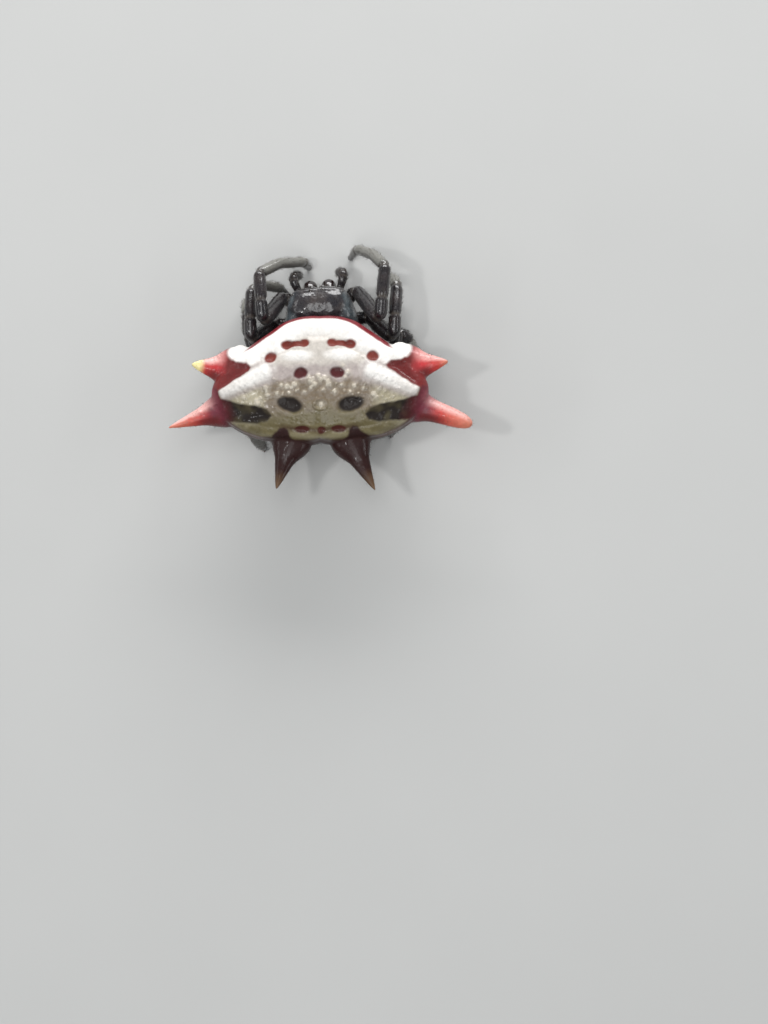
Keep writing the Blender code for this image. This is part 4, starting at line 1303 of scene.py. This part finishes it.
def hair_on_limb(name, spots, radii, hair, number, start, length, seed):
    """Hairs that lie towards the limb's end, on all its sides."""
    draw = np.random.default_rng(seed)
    ways, across, upward = frames_along(spots)
    lengths = lengths_along(spots)
    at = draw.uniform(start, lengths[-1] - 0.10, number)
    around = draw.uniform(0, 2 * math.pi, number)
    onward = rows_at(at, lengths, ways)
    out = rows_at(at, lengths, across) * np.cos(around)[:, None]
    out += rows_at(at, lengths, upward) * np.sin(around)[:, None]
    roots = rows_at(at, lengths, spots) + out * (np.interp(at, lengths, radii) - 0.004)[:, None]
    lean = draw.uniform(0.55, 0.95, number)[:, None]
    directions = unit(onward + out * lean + draw.normal(0, 0.12, (number, 3)))
    bends = onward * draw.uniform(0.15, 0.45, number)[:, None] - out * 0.15
    sizes = length * draw.uniform(0.6, 1.25, number)
    places = np.column_stack((around / (2 * math.pi) * 0.96 + 0.02, at / lengths[-1] * 0.96 + 0.02))
    # a hair that would reach the floor is left out
    keep = np.minimum(roots[:, 2], (roots + (directions + bends) * sizes[:, None])[:, 2]) > 0.03
    widths = np.full(keep.sum(), LIMB_HAIR_WIDTH) * draw.uniform(0.7, 1.2, keep.sum())
    thing = hairs(name, roots[keep], directions[keep], bends[keep], sizes[keep], widths, places[keep])
    settle(thing, hair, "leg_shell")


def make_claws(name, foot, way, horn):
    """A pair of small curved claws at the end of a leg, over the floor."""
    side = Vector((way.y, -way.x, 0.0)).normalized()
    claws = []
    for hand, _ in SIDES:
        root = foot + side * hand * 0.045 + Vector((0, 0, 0.16))
        bend = root + way * 0.13 + Vector((0, 0, 0.01))
        tip = root + way * 0.17 + Vector((0, 0, -0.13))
        claw, at = tapered_limb("claw", [root, bend, tip], CLAW_RADII, 10, 14, run=0.02)
        paint(claw, "toward_tip", at / at.max())
        claws.append(claw)
    thing = join(claws)
    thing.name = name
    settle(thing, horn, "leg_shell")


def make_leg(node, hand, number, leg_shell, hair, horn):
    """One leg with its coat and claws. Its root turns with the head, and its metatarsus gets a painted
    highlight, most on the side facing front and up.
    """
    joints = mirrored((RIGHT_LEG_JOINTS if hand == 1 else LEG_JOINTS)[number], hand)
    joints = [Vector(joint) for joint in (*turned(joints[:2]), *joints[2:])]
    joints[0] = joints[0] + (joints[0] - joints[1]).normalized() * LEG_ROOT_SUNK
    joints[-1] = joints[-1] + Vector((0, 0, FOOT_LIFT))
    skin, beyond, spots, radii = jointed_limb(f"{node}_shell", joints, LEG_RADII, LEG_BULGE, LEG_REAL_JOINTS)
    # painted highlight: the metatarsus is lightened, most on the side that faces front and up
    upper = step(-0.35, 0.60, normals_of(skin) @ np.array((0.0, 0.75, 0.66)))
    paint(skin, "painted_sheen", (0.45 + 0.50 * upper) * step(3.95, 4.25, beyond) * step(6.7, 5.9, beyond))
    shape = points_of(skin)
    shape += normals_of(skin) * (0.008 * ripple(shape, 0.22, number))[:, None]
    shape[:, 2] = np.maximum(shape[:, 2], 0.0)
    move_points(skin, shape)
    settle(skin, leg_shell, "leg_shell", node)
    hair_on_limb(f"{node}_hair", spots, radii, hair, 420, 0.6, 0.15, 10 * number + hand)
    outward = (joints[-1] - Vector((0.0, 0.3, 0.0))) * Vector((1, 1, 0))
    make_claws(f"{node}_claws", joints[-1], outward.normalized(), horn)


def make_palp(node, hand, leg_shell, hair):
    joints = turned(mirrored(PALP_PATH, hand))
    palp, _, spots, radii = jointed_limb(f"{node}_shell", joints, PALP_RADII, [1.04] * 6, PALP_JOINTS)
    settle(palp, leg_shell, "leg_shell", node)
    hair_on_limb(f"{node}_hair", spots, radii, hair, 220, 0.5, 0.13, 70 + hand)


# Hair on the head and on the shield's spines and belly

def hair_on_skin(name, skin, chosen, number, length, lie, hair, slot_name, seed):
    """Short hairs on the points of a skin that chosen() keeps."""
    draw = np.random.default_rng(seed)
    spots = points_of(skin) / MM - np.array((0.0, FRAME_Y, 0.0))
    kept = np.flatnonzero(chosen(spots))
    picked = draw.choice(kept, size=min(number, len(kept)), replace=False)
    roots, out = spots[picked], normals_of(skin)[picked]
    count = len(picked)
    directions = out * 0.9 + np.array(lie) + draw.normal(0, 0.25, (count, 3))
    bends = np.array(lie) * 0.4 + draw.normal(0, 0.08, (count, 3))
    low, high = spots.min(axis=0), spots.max(axis=0)
    flat = (roots[:, :2] - low[:2]) / (high[:2] - low[:2])
    half = np.where(out[:, 2] >= 0, 0.0, 0.5)
    places = np.column_stack((flat[:, 0] * 0.46 + 0.02 + half, flat[:, 1] * 0.96 + 0.02))
    sizes = length * draw.uniform(0.6, 1.2, count)
    widths = np.full(count, BODY_HAIR_WIDTH)
    settle(hairs(name, roots - out * 0.004, directions, bends, sizes, widths, places), hair, slot_name)


def make_body_hair(abdomen, head, hair):
    def on_head(spots):
        return (spots[:, 2] > 1.6) & (spots[:, 1] > -0.9)

    def on_spines(spots):
        return (margin_reach(spots) > 1.04) & (spots[:, 2] > 2.7) & (knob_cover(spots, 0.3) == 0)

    def on_belly(spots):
        return (spots[:, 2] < RIM_HEIGHT - 0.2) & (margin_reach(spots) < 1.0)

    hair_on_skin("head_hair", head, on_head, 420, 0.12, (0, 0.9, 0), hair, "black_shell", 5)
    hair_on_skin("spine_hair", abdomen, on_spines, 700, 0.10, (0, 0, 0.2), hair, "abdomen_shell", 6)
    hair_on_skin("belly_hair", abdomen, on_belly, 1600, 0.12, (0, -0.4, -0.2), hair, "abdomen_shell", 7)


# Floor, light and camera

def make_stage(floor_material):
    """A pale floor, a plain sky and soft lamps that look at the spider."""
    bpy.ops.mesh.primitive_plane_add(size=FLOOR_SIZE, location=(0, 0, 0))
    floor = named("floor")
    floor.data.materials.append(floor_material)
    bpy.context.scene.view_settings.view_transform = "Standard"
    world = bpy.data.worlds.new("studio")
    bpy.context.scene.world = world
    world.use_nodes = True
    background = world.node_tree.nodes["Background"]
    set_inputs(world.node_tree, background, {"Color": SKY_COLOUR, "Strength": SKY_STRENGTH})
    for name, (place, size, power) in LAMPS.items():
        bpy.ops.object.light_add(type="AREA", location=place)
        lamp = bpy.context.object
        lamp.name = f"{name}_light"
        lamp.data.shape = "RECTANGLE"
        lamp.data.size, lamp.data.size_y = size
        lamp.data.energy = power
        lamp.rotation_euler = (-Vector(place)).to_track_quat("-Z", "Y").to_euler()
        lamp.visible_camera = False


def make_camera():
    """A camera that looks down on the shield, almost square to it, framed as the photograph is."""
    back = Vector((math.sin(CAMERA_YAW), *CAMERA_BACK)).normalized()
    up = (Vector((0, 1, 0)) - back * back.y).normalized()
    right = up.cross(back).normalized()
    aim = Vector((0.0, 0.0, RIM_HEIGHT)) + right * AIM_RIGHT - up * AIM_DOWN
    bpy.ops.object.camera_add()
    camera = bpy.context.object
    camera.name = "photo_camera"
    camera.data.sensor_width = SENSOR_WIDTH
    camera.data.lens = CAMERA_DISTANCE * SENSOR_WIDTH / (max(PICTURE_SIZE) / PIXELS_PER_MM)
    camera.data.clip_start = 0.001
    placed = Matrix((right, up, back)).transposed().to_4x4()
    placed.translation = (aim + back * CAMERA_DISTANCE + Vector((0, FRAME_Y, 0))) * MM
    camera.matrix_world = placed
    bpy.context.scene.camera = camera


def main():
    deselect()
    black = make_black_material("black_shell")
    leg_shell = make_black_material("leg_shell", joints=True)
    horn = make_jaw_material()
    hair = make_hair_material()
    abdomen = make_abdomen(make_shell_material())
    make_spinnerets(make_skin_material())
    head = make_cephalothorax(black)
    make_eyes(make_eye_material(), black)
    make_jaws(horn)
    make_pedicel(black)
    for hand, side in SIDES:
        for number in LEG_JOINTS:
            make_leg(f"leg_{number}_{side}", hand, number, leg_shell, hair, horn)
    for hand, side in SIDES:
        make_palp(f"palp_{side}", hand, leg_shell, hair)
    make_body_hair(abdomen, head, hair)
    make_stage(make_floor_material())
    make_camera()


main()
